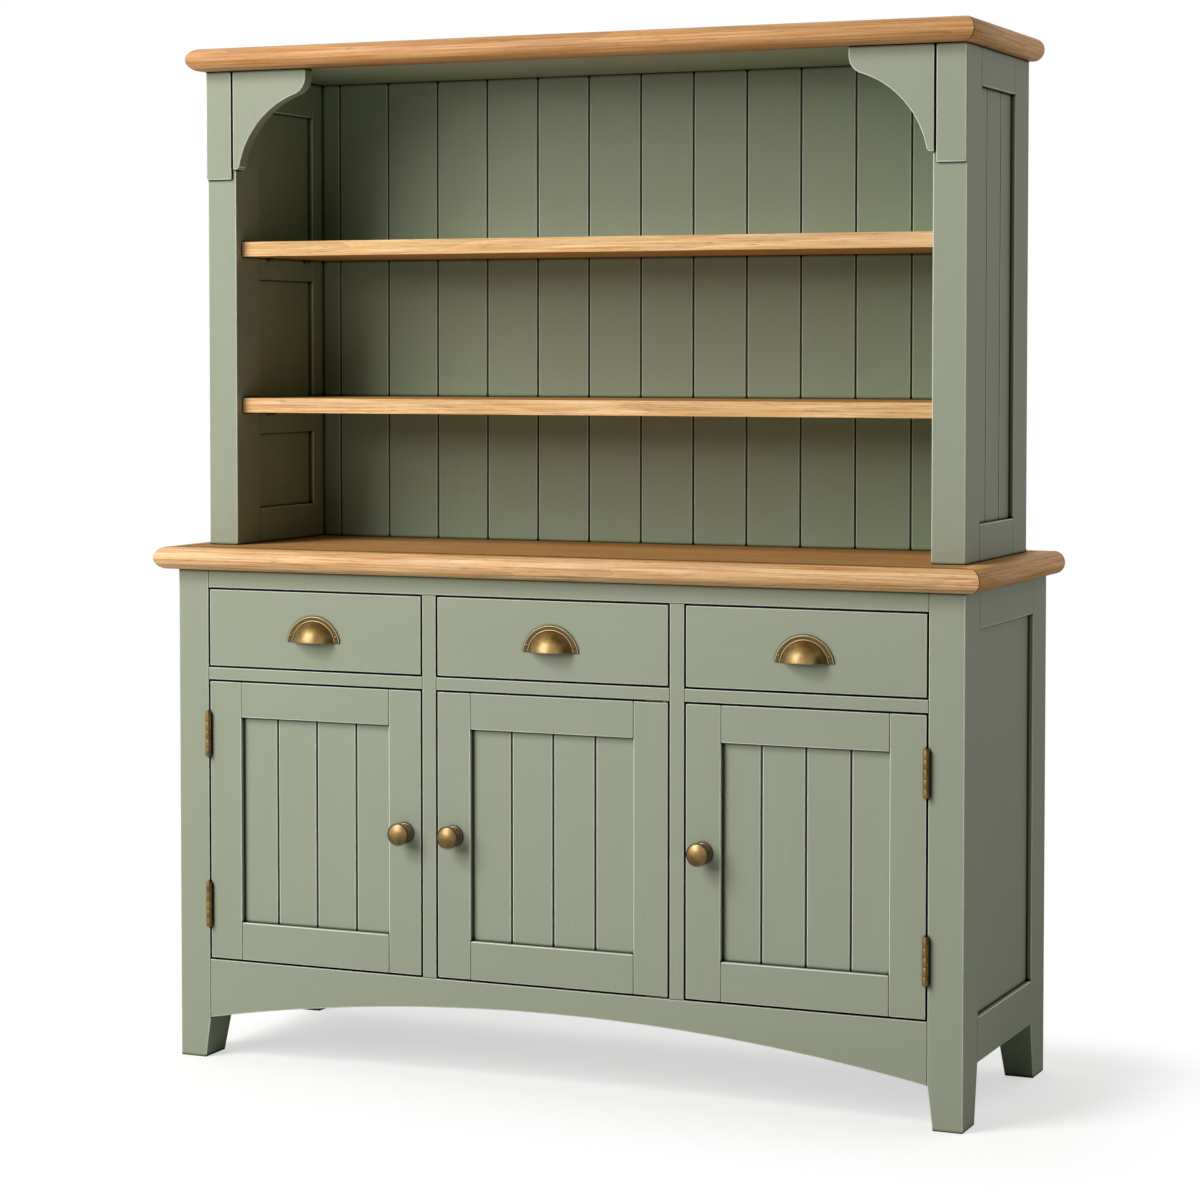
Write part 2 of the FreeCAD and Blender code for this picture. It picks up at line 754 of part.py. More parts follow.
def bracket_left():
    """The scrolled bracket under the cornice, rebated over the front edge of its post."""
    body = doc.addObject("PartDesign::Body", "bracket_left")
    lip = d.bracket_lip
    top = d.bracket_height
    reach = d.bracket_reach + lip
    cusp = [reach - d.bracket_cusp_in, top - d.bracket_cusp_drop]
    tip = lip + d.bracket_tip
    ease = d.bracket_tip_ease
    corners = [
        (0, 0), (tip - ease, 0), (tip, ease, d.bracket_radius, -1),
        (cusp[0], cusp[1], d.bracket_nose_radius), (reach, top - d.bracket_nose), (reach, top), (0, top),
    ]
    padded(body, "XZ_Plane", corners, d.bracket_thickness, back=True)
    rebate = [(0, d.head_proud), (lip, d.head_proud), (lip, d.bracket_thickness), (0, d.bracket_thickness)]
    pocketed(body, "XY_Plane", rebate, "rebate")
    return put(body, [-post_inside - lip, hutch_front - d.head_proud, hutch_top - top])


def hutch_head():
    """Head blocks on the posts, scrolled brackets beside them and the ceiling between the cornice lippings."""
    low = [-hutch_side, hutch_front - d.head_proud, hutch_top - d.head_height]
    block = between("head_block", low, [-post_inside - d.head_rebate, hutch_front, hutch_top])
    node("hutch_head_blocks", group("head_blocks", [block, mirrored("head_block_mirrored", block)]))

    left = bracket_left()
    right = mirrored("bracket_mirrored", left)
    node("hutch_brackets", group("brackets", [left, right]))

    low = [d.lipping_width - cornice_half, cornice_near + d.lipping_width, hutch_top]
    high = [cornice_half - d.lipping_width, cornice_far, hutch_top + d.ceiling_thickness]
    node("hutch_ceiling", between("ceiling", low, high))


def hutch_angles():
    """Steel angles behind the hutch that hold its rear posts to the counter."""
    body = doc.addObject("PartDesign::Body", "angle_left")
    thin = d.angle_thickness
    long = d.angle_length
    wide = d.angle_width
    corners = [(0, 0), (long, 0), (long, thin), (thin, thin), (thin, long), (0, long)]
    padded(body, "YZ_Plane", corners, wide)
    middle = (hutch_side + post_inside) / 2
    put(body, [-middle - wide / 2, hutch_back, d.counter_height])
    radius = d.angle_hole_diameter / 2
    up = d.counter_height + d.angle_hole_reach
    out = hutch_back + d.angle_hole_reach
    bores = []
    for tag, turn in (("left", VIEWER_LEFT), ("right", VIEWER_RIGHT)):
        at = d.angle_hole_spacing / 2 * turn - middle
        bores.append(rod(f"angle_{tag}_post_bore", [at, hutch_back, up], radius, thin, (0, 1, 0)))
        bores.append(rod(f"angle_{tag}_counter_bore", [at, out, d.counter_height], radius, thin))
    angle = cut("angle", body, bores)
    node("hutch_angles", group("angles", [angle, mirrored("angle_mirrored", angle)]))


def knob(name, at):
    """A turned brass knob: a stepped rosette, a waisted neck, and a flattened dome inside a narrow rim."""
    body = doc.addObject("PartDesign::Body", name)
    rosette = d.rosette_diameter / 2
    upper = rosette - d.rosette_step
    seat = d.rosette_thickness
    tier = seat + d.rosette_tier
    neck = d.knob_neck / 2
    head = d.knob_diameter / 2
    cap = head - d.knob_ledge
    rim = d.knob_projection - d.knob_dome
    sweep = rim - d.knob_rim - d.knob_neck_end
    flare = arc_radius(head - neck, sweep)
    corners = [
        (0, 0), (rosette, 0), (rosette, -seat), (upper, -seat), (upper, -tier),
        (neck, -tier - d.rosette_cone), (neck, -d.knob_neck_end, flare, -1), (head, d.knob_rim - rim),
        (head, -rim), (cap, -rim, arc_radius(cap, d.knob_dome), -1), (0, -d.knob_projection),
    ]
    turning = body.newObject("PartDesign::Revolution", f"{name}_turning")
    turning.Profile = outline(sketch_on(body, "XY_Plane", f"{name}_profile"), corners)
    turning.ReferenceAxis = (turning.Profile[0], ["V_Axis"])
    return put(body, at)


def cup_pull(name, at):
    """A cast brass cup pull: half a domed shell, open below, on an arched plate with raised beads.

    The body's origin is the middle of the dome, which lies below the pull's straight lower edge.
    """
    body = doc.addObject("PartDesign::Body", name)
    half = d.pull_width / 2
    bead = d.pull_bead_width
    proud = d.pull_plate + d.pull_bead_rise
    dome = arc_radius(d.pull_dome_width / 2, d.pull_dome_height)
    level = dome - d.pull_dome_height
    sweep = arc_radius(half, d.pull_height)
    padded(body, "XZ_Plane", [(half, level, sweep), (-half, level)], d.pull_plate)
    inner = half - bead
    inner_sweep = arc_radius(inner, d.pull_height - bead)
    ring = [(half, level, sweep), (-half, level), (-inner, level, inner_sweep, -1), (inner, level)]
    padded(body, "XZ_Plane", ring, proud, tag="bead")

    shell = [
        (0, 0), (0, dome + bead), (-proud, dome + bead), (-proud, dome + bead / 2),
        (-d.pull_plate, dome, arc_radius(dome, d.pull_projection - d.pull_plate)), (-d.pull_projection, 0),
    ]
    casting = body.newObject("PartDesign::Revolution", f"{name}_casting")
    casting.Profile = outline(sketch_on(body, "YZ_Plane", f"{name}_shell"), shell)
    casting.ReferenceAxis = (casting.Profile[0], ["H_Axis"])
    inside = dome - d.pull_wall
    depth = d.pull_projection - d.pull_wall
    hollow = body.newObject("PartDesign::Groove", f"{name}_hollow")
    cavity = [(0, 0), (0, inside, arc_radius(inside, depth)), (-depth, 0)]
    hollow.Profile = outline(sketch_on(body, "YZ_Plane", f"{name}_cavity"), cavity)
    hollow.ReferenceAxis = (hollow.Profile[0], ["H_Axis"])
    below = -dome - bead
    pocketed(body, "XZ_Plane", [(-half, below), (half, below), (half, level), (-half, level)], "mouth")
    return put(body, [at[X], at[Y], at[Z] - level])


def hinge_axis(turn):
    """Plan position of a side door's hinge pins: in the middle of the gap, proud of the front."""
    across = (leg_inside - d.front_gap / 2) * turn
    return across, front - d.knuckle_diameter / 2 - d.knuckle_stand


def hinge_levels():
    """Low ends of a side door's two hinges."""
    return {"low": door_low + d.hinge_inset, "high": door_high - d.hinge_inset - d.hinge_length}


def hinge_leaf(name, turn, low, on_door):
    """One leaf of a butt hinge, its plate in the gap and its share of the knuckles round the pin."""
    across, out = hinge_axis(turn)
    thick = (d.front_gap - d.leaf_play) / 2
    play = d.leaf_play / 2
    outward = across - (thick + play) * turn if on_door else across + play * turn
    plate_low = outward if turn > 0 else outward - thick
    pieces = [board(f"{name}_plate", [plate_low, front, low], [thick, d.leaf_width, d.hinge_length])]
    pitch = d.hinge_length / KNUCKLE_COUNT
    radius = d.knuckle_diameter / 2
    trim = d.knuckle_stand / 2 if on_door else 0
    for index in range(1 if on_door else 0, KNUCKLE_COUNT, 2):
        start = low + pitch * index + trim
        tall = pitch - trim * 2
        pieces.append(rod(f"{name}_knuckle_{index}", [across, out, start], radius, tall))
        neck_size = [thick, front - out, tall]
        pieces.append(board(f"{name}_neck_{index}", [plate_low, out, start], neck_size))
    bore = rod(f"{name}_bore", [across, out, low], d.pin_diameter / 2 + d.pin_clearance, d.hinge_length)
    return cut(name, fuse(f"{name}_blank", pieces), [bore])


def hinge_pin(name, turn, low):
    """A headed pin that drops through the knuckles and stands on the top one."""
    across, out = hinge_axis(turn)
    shank = rod(f"{name}_shank", [across, out, low], d.pin_diameter / 2, d.hinge_length)
    top = [across, out, low + d.hinge_length]
    head = rod(f"{name}_head", top, d.pin_head_diameter / 2, d.pin_head_height)
    return fuse(name, [shank, head])


def side_hinges():
    """Leaves on the legs, with their pins. Returns the leaves on each side door."""
    fixed = []
    pins = []
    moving = {}
    for door, turn in (("left", VIEWER_LEFT), ("right", VIEWER_RIGHT)):
        moving[door] = []
        for tag, low in hinge_levels().items():
            fixed.append(hinge_leaf(f"leg_leaf_{door}_{tag}", turn, low, on_door=False))
            pins.append(hinge_pin(f"hinge_pin_{door}_{tag}", turn, low))
            moving[door].append(hinge_leaf(f"door_leaf_{door}_{tag}", turn, low, on_door=True))
    node("hinge_leg_leaves", group("leg_leaves", fixed))
    node("hinge_pins", group("pins", pins))
    return moving


def middle_pivots():
    """The middle door's pivots: plates with pins above and below it, and flanged bushes in the door."""
    across = muntin_inside - d.front_gap - d.pivot_inset
    out = front + d.pivot_inset
    half = d.front_gap / 2
    ends = {"low": (d.apron_top, door_low, 1), "high": (door_head, door_high, -1)}
    plates = []
    bushes = []
    bores = []
    for tag, (seat, edge, up) in ends.items():
        plate_low = [across + d.pivot_inset - d.pivot_plate_length, out - d.pivot_inset / 2, seat]
        if up < 0:
            plate_low[Z] = seat - half
        plate_size = [d.pivot_plate_length, d.pivot_plate_width, half]
        plate = board(f"pivot_{tag}_plate", plate_low, plate_size)
        along = (0, 0, up)
        pin_length = d.front_gap + d.pivot_pin_length
        pin = rod(f"pivot_{tag}_pin", [across, out, seat], d.pivot_pin_diameter / 2, pin_length, along)
        plates.append(fuse(f"pivot_{tag}", [plate, pin]))
        sleeve = rod(f"bush_{tag}_sleeve", [across, out, edge], d.bush_diameter / 2, d.bush_length, along)
        flange_at = [across, out, edge - half * up]
        flange = rod(f"bush_{tag}_flange", flange_at, d.bush_flange / 2, half, along)
        clear = d.pivot_pin_diameter / 2 + d.pin_clearance
        bore = rod(f"bush_{tag}_bore", flange_at, clear, half + d.bush_length, along)
        bushes.append(cut(f"bush_{tag}", fuse(f"bush_{tag}_blank", [sleeve, flange]), [bore]))
        bores.append(sleeve)
    node("pivot_plates", group("pivots", plates))
    return bushes, bores


def door(tag, bores, fittings):
    """A framed door with a boarded panel, its knob and the fittings that it carries."""
    left = BAYS[tag][0] + d.front_gap
    right = BAYS[tag][1] - d.front_gap
    thick = d.frame_thickness
    groove = d.panel_groove
    low = door_low + d.door_bottom_rail
    high = door_high - d.door_top_rail
    near = front + d.door_panel_recess
    panel_low = [left + d.door_stile - groove, near, low - groove]
    panel_high = [right - d.door_stile + groove, near + d.door_panel_thickness, high + groove]
    blank = between(f"door_{tag}_panel_blank", panel_low, panel_high)
    rails = []
    tenons = []
    for level, at, top in (("bottom", door_low, low), ("top", high, door_high)):
        rail_low = [left + d.door_stile, front, at]
        size = [right - left - d.door_stile * 2, thick, top - at]
        name = f"door_{tag}_{level}_rail"
        rail, ends = tenoned(name, rail_low, size, X, Y, d.tenon_length, panel_shoulder, [blank])
        rails.append(rail)
        tenons += ends
    stiles = []
    for end, at in (("left", left), ("right", right - d.door_stile)):
        name = f"door_{tag}_{end}_stile"
        size = [d.door_stile, thick, door_high - door_low]
        housings = [blank] + tenons + bores
        stiles.append(cut(name, board(f"{name}_blank", [at, front, door_low], size), housings))
    node(f"door_{tag}_frame", group(f"door_{tag}_boards", stiles + rails))

    size = [top - bottom for bottom, top in zip(panel_low, panel_high)]
    clear = right - left - d.door_stile * 2
    count = groove_count(clear, d.door_board_pitch)
    node(f"door_{tag}_panel", grooved_panel(f"panel_{tag}", panel_low, size, d.door_board_pitch, count))

    knob_side = right - d.door_stile / 2 if tag == "left" else left + d.door_stile / 2
    node(f"door_{tag}_knob", knob(f"knob_{tag}", [knob_side, front, (door_low + door_high) / 2]))
    strike_low = [knob_side - d.catch_width / 2, front + thick, door_high - d.strike_height]
    strike = board(f"strike_{tag}", strike_low, [d.catch_width, d.strike_thickness, d.strike_height])
    node(f"door_{tag}_fittings", group(f"fittings_{tag}", fittings + [strike]))
    return board(
        f"catch_{tag}",
        [strike_low[X], front + thick + d.strike_thickness, door_head - d.catch_height],
        [d.catch_width, d.catch_depth, d.catch_height],
    )


def drawer(tag):
    """A drawer: an inset front, a box on tongues and grooves behind it, and a cup pull."""
    left = BAYS[tag][0] + d.front_gap
    right = BAYS[tag][1] - d.front_gap
    thin = d.drawer_side_thickness
    low = drawer_sill + d.front_gap
    high = drawer_head - d.front_gap
    far = rear_frame - d.drawer_rear_gap
    box_left = left + d.drawer_side_play
    box_right = right - d.drawer_side_play
    top = drawer_sill + d.drawer_side_height
    floor = drawer_sill + d.drawer_bottom_rise
    groove = d.drawer_bottom_groove
    bottom_low = [box_left + thin - groove, frame_back - groove, floor]
    bottom_high = [box_right - thin + groove, far, floor + d.drawer_bottom_thickness]
    bottom = between(f"drawer_{tag}_bottom", bottom_low, bottom_high)
    sides = []
    tongues = []
    for end, at in (("left", box_left), ("right", box_right - thin)):
        plank = between(f"drawer_{tag}_{end}_plank", [at, frame_back, drawer_sill], [at + thin, far, top])
        tongue_low = [at, frame_back - d.drawer_tongue, floor + d.drawer_bottom_thickness]
        tongue = between(f"drawer_{tag}_{end}_tongue", tongue_low, [at + thin, frame_back, top])
        tongues.append(tongue)
        joined = fuse(f"drawer_{tag}_{end}_joined", [plank, tongue])
        sides.append(cut(f"drawer_{tag}_{end}_side", joined, [bottom]))
    back_low = [box_left + thin, far - thin, floor + d.drawer_bottom_thickness]
    rear = between(f"drawer_{tag}_rear", back_low, [box_right - thin, far, top])
    node(f"drawer_{tag}_box", group(f"drawer_{tag}_boards", sides + [rear, bottom]))

    blank = between(f"drawer_{tag}_blank", [left, front, low], [right, frame_back, high])
    node(f"drawer_{tag}_front", cut(f"drawer_{tag}_housed", blank, tongues + [bottom]))
    pull_at = [(left + right) / 2, front, (low + high) / 2 - d.pull_drop]
    node(f"drawer_{tag}_pull", cup_pull(f"pull_{tag}", pull_at))


def check_and_write():
    """Every object has to be sound before any file is written."""
    doc.recompute()
    failed = [thing.Name for thing in doc.Objects if {"Invalid", "Error"} & set(thing.State)]
    unsound = [thing.Label for thing in nodes if thing.Shape.isNull() or not thing.Shape.isValid()]
    if failed or unsound:
        raise RuntimeError(f"failed objects {failed}, unsound shapes {unsound}")
    os.makedirs("parts", exist_ok=True)
    for thing in nodes:
        thing.Shape.exportStep(f"parts/{thing.Label}.step")
    print(f"wrote {len(nodes)} sub-parts")


base_frame()
base_inside()
counter_end = side + d.counter_overhang
lipped_top(
    "counter", counter_end, front - d.counter_overhang, back,
    under_counter, d.counter_thickness, d.counter_thickness,
)
hutch_sides()
hutch_shelves()
hutch_head()
lipped_top(
    "cornice", cornice_half, cornice_near, cornice_far,
    hutch_top, d.cornice_thickness, d.cornice_thickness - d.ceiling_thickness,
)
hutch_angles()
door_leaves = side_hinges()
pivot_bushes, bush_bores = middle_pivots()
catches = [
    door("left", [], door_leaves["left"]),
    door("middle", bush_bores, pivot_bushes),
    door("right", [], door_leaves["right"]),
]
node("door_catches", group("catches", catches))
for bay in BAYS:
    drawer(bay)
check_and_write()
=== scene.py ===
# %% [markdown]
# # A painted dresser, dressed over its measured frame
# The object is a kitchen dresser: a base with three drawers over three boarded doors, and an open hutch
# with two shelves above. The carcass is painted sage green, the tops and shelves are lacquered oak, and
# the handles are antique brass. The measured model gives every board its place, so this lesson starts by
# loading it and works on its surfaces: easing the arrises, rounding what was turned or cast, and giving
# each material the grain, brush marks and wear that the real one has, and some painted shade and highlight.

# %% Load the measured frame
import json
import math

import bmesh
import bpy
from mathutils import Matrix, Vector


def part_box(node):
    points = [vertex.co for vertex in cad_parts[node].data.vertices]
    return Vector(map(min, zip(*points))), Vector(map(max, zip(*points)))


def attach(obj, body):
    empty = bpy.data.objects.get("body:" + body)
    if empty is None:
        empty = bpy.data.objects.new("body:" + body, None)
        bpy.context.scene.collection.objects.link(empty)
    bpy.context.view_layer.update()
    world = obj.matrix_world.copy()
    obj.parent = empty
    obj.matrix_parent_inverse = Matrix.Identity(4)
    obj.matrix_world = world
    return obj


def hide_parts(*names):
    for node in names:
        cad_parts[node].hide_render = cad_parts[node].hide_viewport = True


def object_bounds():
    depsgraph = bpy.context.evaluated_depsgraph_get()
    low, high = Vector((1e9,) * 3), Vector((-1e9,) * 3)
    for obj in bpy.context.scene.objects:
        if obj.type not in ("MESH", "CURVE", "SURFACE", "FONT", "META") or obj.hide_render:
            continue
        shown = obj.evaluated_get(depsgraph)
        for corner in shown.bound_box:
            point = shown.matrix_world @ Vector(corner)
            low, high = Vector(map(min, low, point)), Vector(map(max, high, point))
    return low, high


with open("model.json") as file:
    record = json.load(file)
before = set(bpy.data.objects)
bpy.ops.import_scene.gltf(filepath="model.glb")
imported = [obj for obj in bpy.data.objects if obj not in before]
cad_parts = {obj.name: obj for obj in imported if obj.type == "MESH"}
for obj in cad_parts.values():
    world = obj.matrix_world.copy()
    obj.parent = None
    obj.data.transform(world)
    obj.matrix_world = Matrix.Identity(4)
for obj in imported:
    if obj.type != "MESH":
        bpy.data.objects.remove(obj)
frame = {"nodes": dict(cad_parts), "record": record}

CAD_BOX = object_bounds()
SLOT_OF = {row["node"]: row["material_slot"] for row in frame["record"]["subparts"]}
BODIES = frame["record"]["behaviour"]["bodies"]
BODY_OF = {node: body for body, members in BODIES.items() for node in members}
MM = 0.001

# %% [markdown]
# ## Colours and nodes
# Paint shades are read off as sRGB hex values, the numbers that a colour picker shows, while a shader
# works in linear light. One function converts them. A second adds a node, sets it up and links it.

# %% Two helpers for every material
def linear(shade):
    """An sRGB hex colour as linear RGBA."""
    channels = [int(shade[at:at + 2], 16) / 255 for at in (1, 3, 5)]
    return [c / 12.92 if c <= 0.04045 else ((c + 0.055) / 1.055) ** 2.4 for c in channels] + [1.0]


def add(tree, kind, settings, sockets):
    """Adds a node, with its settings and what its inputs take: a plain value or another node's output."""
    made = tree.nodes.new(kind)
    for name, value in settings.items():
        setattr(made, name, value)
    for name, value in sockets.items():
        if isinstance(value, bpy.types.NodeSocket):
            tree.links.new(value, made.inputs[name])
        else:
            made.inputs[name].default_value = value
    return made


print("half of full sRGB in linear light:", [round(c, 3) for c in linear("#808080")[:3]])

# %% [markdown]
# ## Steps that repeat
# Most materials use the same few steps, so each step has a name here: a noise, a change of range, a colour
# laid over another or multiplied by it, and a bump. Then each material below reads as a short list of what
# lies on top of what. A range is written as the two values where it starts and ends, and then what they
# become. Ambient occlusion tells how open a spot is: 1 on a free face, and less in a corner or a gap.

# %% Steps of a material
OPENNESS_SAMPLES = 8


def new_finish(name):
    """An empty material and its node tree."""
    finish = bpy.data.materials.new(name)
    finish.use_nodes = True
    finish.node_tree.nodes.clear()
    return finish, finish.node_tree


def object_place(tree):
    """Object coordinates, in metres."""
    return add(tree, "ShaderNodeTexCoord", {}, {}).outputs["Object"]


def noise(tree, place, detail, scale=1.0, roughness=0.5, lot=None):
    """Soft noise. A lot gives each board its own place in the pattern."""
    sockets = {"Vector": place, "Scale": scale, "Detail": detail, "Roughness": roughness}
    if lot is None:
        return add(tree, "ShaderNodeTexNoise", {}, sockets).outputs["Fac"]
    sockets["W"] = lot
    return add(tree, "ShaderNodeTexNoise", {"noise_dimensions": "4D"}, sockets).outputs["Fac"]


def remap(tree, value, start=0.0, end=1.0, low=0.0, high=1.0):
    """Stretches a value from one range to another, and stops at its ends."""
    sockets = {"Value": value, "From Min": start, "From Max": end, "To Min": low, "To Max": high}
    return add(tree, "ShaderNodeMapRange", {}, sockets).outputs["Result"]


def spread(tree, value, low, high):
    """Stretches a value between 0 and 1 to another range."""
    return remap(tree, value, 0.0, 1.0, low, high)


def maths(tree, operation, first, second=0.0):
    """One step of arithmetic."""
    return add(tree, "ShaderNodeMath", {"operation": operation}, {0: first, 1: second}).outputs[0]


def mix(tree, share, under, over, how="MIX"):
    """Lays a colour over another by a share."""
    settings = {"data_type": "RGBA", "blend_type": how}
    return add(tree, "ShaderNodeMix", settings, {0: share, 6: under, 7: over}).outputs[2]


def tint(tree, colour, by):
    """Multiplies a colour by another, or by a value."""
    return mix(tree, 1.0, colour, by, "MULTIPLY")


def openness(tree, reach):
    """How open a spot is to what lies within reach."""
    settings = {"samples": OPENNESS_SAMPLES}
    return add(tree, "ShaderNodeAmbientOcclusion", settings, {"Distance": reach}).outputs["AO"]


def marked(tree, name):
    """A value that the mesh's faces carry."""
    return add(tree, "ShaderNodeAttribute", {"attribute_name": name}, {}).outputs["Fac"]


def relief(tree, height, strength, depth_mm, sunk=False):
    """A normal that makes a pattern stand up or sink in."""
    sockets = {"Height": height, "Strength": strength, "Distance": depth_mm * MM}
    return add(tree, "ShaderNodeBump", {"invert": sunk}, sockets).outputs["Normal"]


def cover(tree, sockets):
    """Ends a material with its surface."""
    skin = add(tree, "ShaderNodeBsdfPrincipled", {}, sockets)
    add(tree, "ShaderNodeOutputMaterial", {}, {"Surface": skin.outputs["BSDF"]})


# %% [markdown]
# ## Grain
# Every wooden piece has a grain direction, and paint on wood shows it faintly too. A noise pattern becomes
# grain when it is squeezed across the board and stretched along it. Object coordinates are in metres, so
# dividing them by a streak's real width and length gives a pattern with one streak to each unit.

# %% Coordinates that run with the grain
AXES = {"lengthwise": 0, "fore_and_aft": 1, "upright": 2}


def along_grain(tree, run, streak_mm, shift=0.0):
    """Object coordinates in streaks: a unit is a streak's width across the grain and its length along it."""
    across_mm, along_mm = streak_mm
    scale = [1 / (across_mm * MM)] * 3
    scale[AXES[run]] = 1 / (along_mm * MM)
    sockets = {"Vector": object_place(tree), "Scale": scale, "Location": [shift] * 3}
    return add(tree, "ShaderNodeMapping", {}, sockets).outputs["Vector"]


print("grain runs:", ", ".join(AXES))

# %% [markdown]
# ## Satin sage paint
# The carcass is sprayed with a satin water-based paint. It hides the wood's colour but not all of its
# texture: the grain telegraphs through as fine ridges, the tone drifts a little from board to board, the
# film thins on sharp arrises, and dust gathers in the seams between boards. A plain colour would look like
# plastic, so the base colour drifts, and bump and roughness follow the grain. A face attribute makes the
# free arrises paler, partly for the thin film and partly as a painted highlight. Openness paints shade
# into the colour: a short reach darkens close joints, inside corners and the edges of gaps, with dust and
# painted shade together, and keeps their arrises from going pale; a longer one paints the depth of the
# gaps nearly black as painted shade, and the dust there also kills the sheen; the longest tints the
# enclosed inside of the hutch darker and greener, also as painted shade.

# %% Paint that shows the grain under it
SAGE = linear("#A1A791")
SAGE_DEEP = linear("#9BA18A")
SAGE_THIN_AND_HIGHLIT = linear("#E4E9DA")
RECESS_SHADE_TINT = linear("#E6FDEC")
JOINT_REACH = 5 * MM
GAP_REACH = 12 * MM
RECESS_SHADE_REACH = 450 * MM
JOINT_DUST_AND_SHADE = (0.64, 0.98, 0.22, 1.0)
GAP_SHADE = (0.3, 0.64, 0.02, 1.0)
ARRIS_FREE = (0.86, 0.97)
RECESS_SHADE = (0.42, 0.2)
DRIFT_MM = (90, 420)
RIDGE_MM = (2.2, 130)
RIDGE_TONE = (0.3, 0.7, 0.98, 1.015)
PAINT_GLOSS = (0.44, 0.56)


def satin_paint(run):
    """Satin emulsion over close-grained wood. The eye sees a soft sheen and faint ridges along the grain."""
    finish, tree = new_finish("satin_sage_paint_" + run)
    drift = noise(tree, along_grain(tree, run, DRIFT_MM), 3.0)
    tone = mix(tree, drift, SAGE_DEEP, SAGE)
    # Ridges of the wood are about 0.5 mm apart, drawn here at 2.2 mm so that they show.
    ridge = noise(tree, along_grain(tree, run, RIDGE_MM), 4.0)
    brushed = tint(tree, tone, remap(tree, ridge, *RIDGE_TONE))
    # The enclosed inside of the hutch is tinted darker and greener by how enclosed it is: painted shade.
    recess_shade_share = remap(tree, openness(tree, RECESS_SHADE_REACH), *RECESS_SHADE)
    kept = mix(tree, recess_shade_share, brushed, RECESS_SHADE_TINT, "MULTIPLY")
    # Close joints, inside corners and the edges of gaps darken: dust together with painted shade.
    joint = openness(tree, JOINT_REACH)
    joint_dust_and_shade = remap(tree, joint, *JOINT_DUST_AND_SHADE)
    # The depth of the gaps goes nearly black: painted shade.
    depth = remap(tree, openness(tree, GAP_REACH), *GAP_SHADE)
    dust_and_shade = maths(tree, "MULTIPLY", joint_dust_and_shade, depth)
    # Free arrises turn paler: partly a thinner paint film, partly a painted highlight.
    thin_and_highlit = maths(tree, "MULTIPLY", marked(tree, "arris"), remap(tree, joint, *ARRIS_FREE))
    worn_and_highlit = mix(tree, thin_and_highlit, kept, SAGE_THIN_AND_HIGHLIT)
    gloss = spread(tree, ridge, *PAINT_GLOSS)
    dull = add(tree, "ShaderNodeMix", {"data_type": "FLOAT"}, {0: dust_and_shade, 2: 1.0, 3: gloss})
    cover(tree, {"Base Color": tint(tree, worn_and_highlit, dust_and_shade), "Roughness": dull.outputs[0],
                 "Normal": relief(tree, ridge, 0.2, 0.08), "IOR": 1.5, "Specular IOR Level": 0.05})
    return finish


PAINT = {run: satin_paint(run) for run in AXES}
print("paints:", [finish.name for finish in PAINT.values()])

# %% [markdown]
# ## Lacquered oak
# The tops and shelves are solid oak under clear satin lacquer. Oak is coarse: long streaks of fibre, broad
# growth rings cut by the saw into nested arches, and open pores that show as short dark dashes. The arches
# come from the contour lines of one stretched noise, because that is what a saw cut through rings is. Wide
# boards are glued up from staves, each with its own tone and its own place in the pattern. The lippings
# are handled most and keep the most gloss, and the flat tops are worn matt. The flat tops, the end
# lippings and the cornice's front lipping are darker copies of the oak, and the tops also more orange, as
# painted shade, while the front faces of the shelves and of the counter's lipping keep the paler oak.

# %% Oak with rings, fibres, pores and staves
OAK_PORE = linear("#8A5A2C")
GLUE_LINE = linear("#3C2410")
OAK_FIBRE_MM = (2.8, 190)
OAK_FIBRE_TONE = (0.33, 0.64)
OAK_RING_MM = (70, 1500)
OAK_RINGS = 17.0
OAK_RING_TONE = (1.04, 0.88)
OAK_PORE_MM = (1.6, 26)
OAK_PORE_OPEN = (0.6, 0.76, 0.0, 0.5)
OAK_PORE_SHIFT = 7
OAK_LOTS = 40.0
OAK_SEAM_REACH = 5 * MM
OAK_SEAM_DUST_AND_SHADE = (0.4, 0.8, 0.05, 1.0)
OAK_GLOSS_SPREAD = 0.06
STAVE = {"lengthwise": "Y", "fore_and_aft": "X", "upright": "X"}
STAVE_TONE = (0.94, 1.06)
LIPPING_STAVE = 900


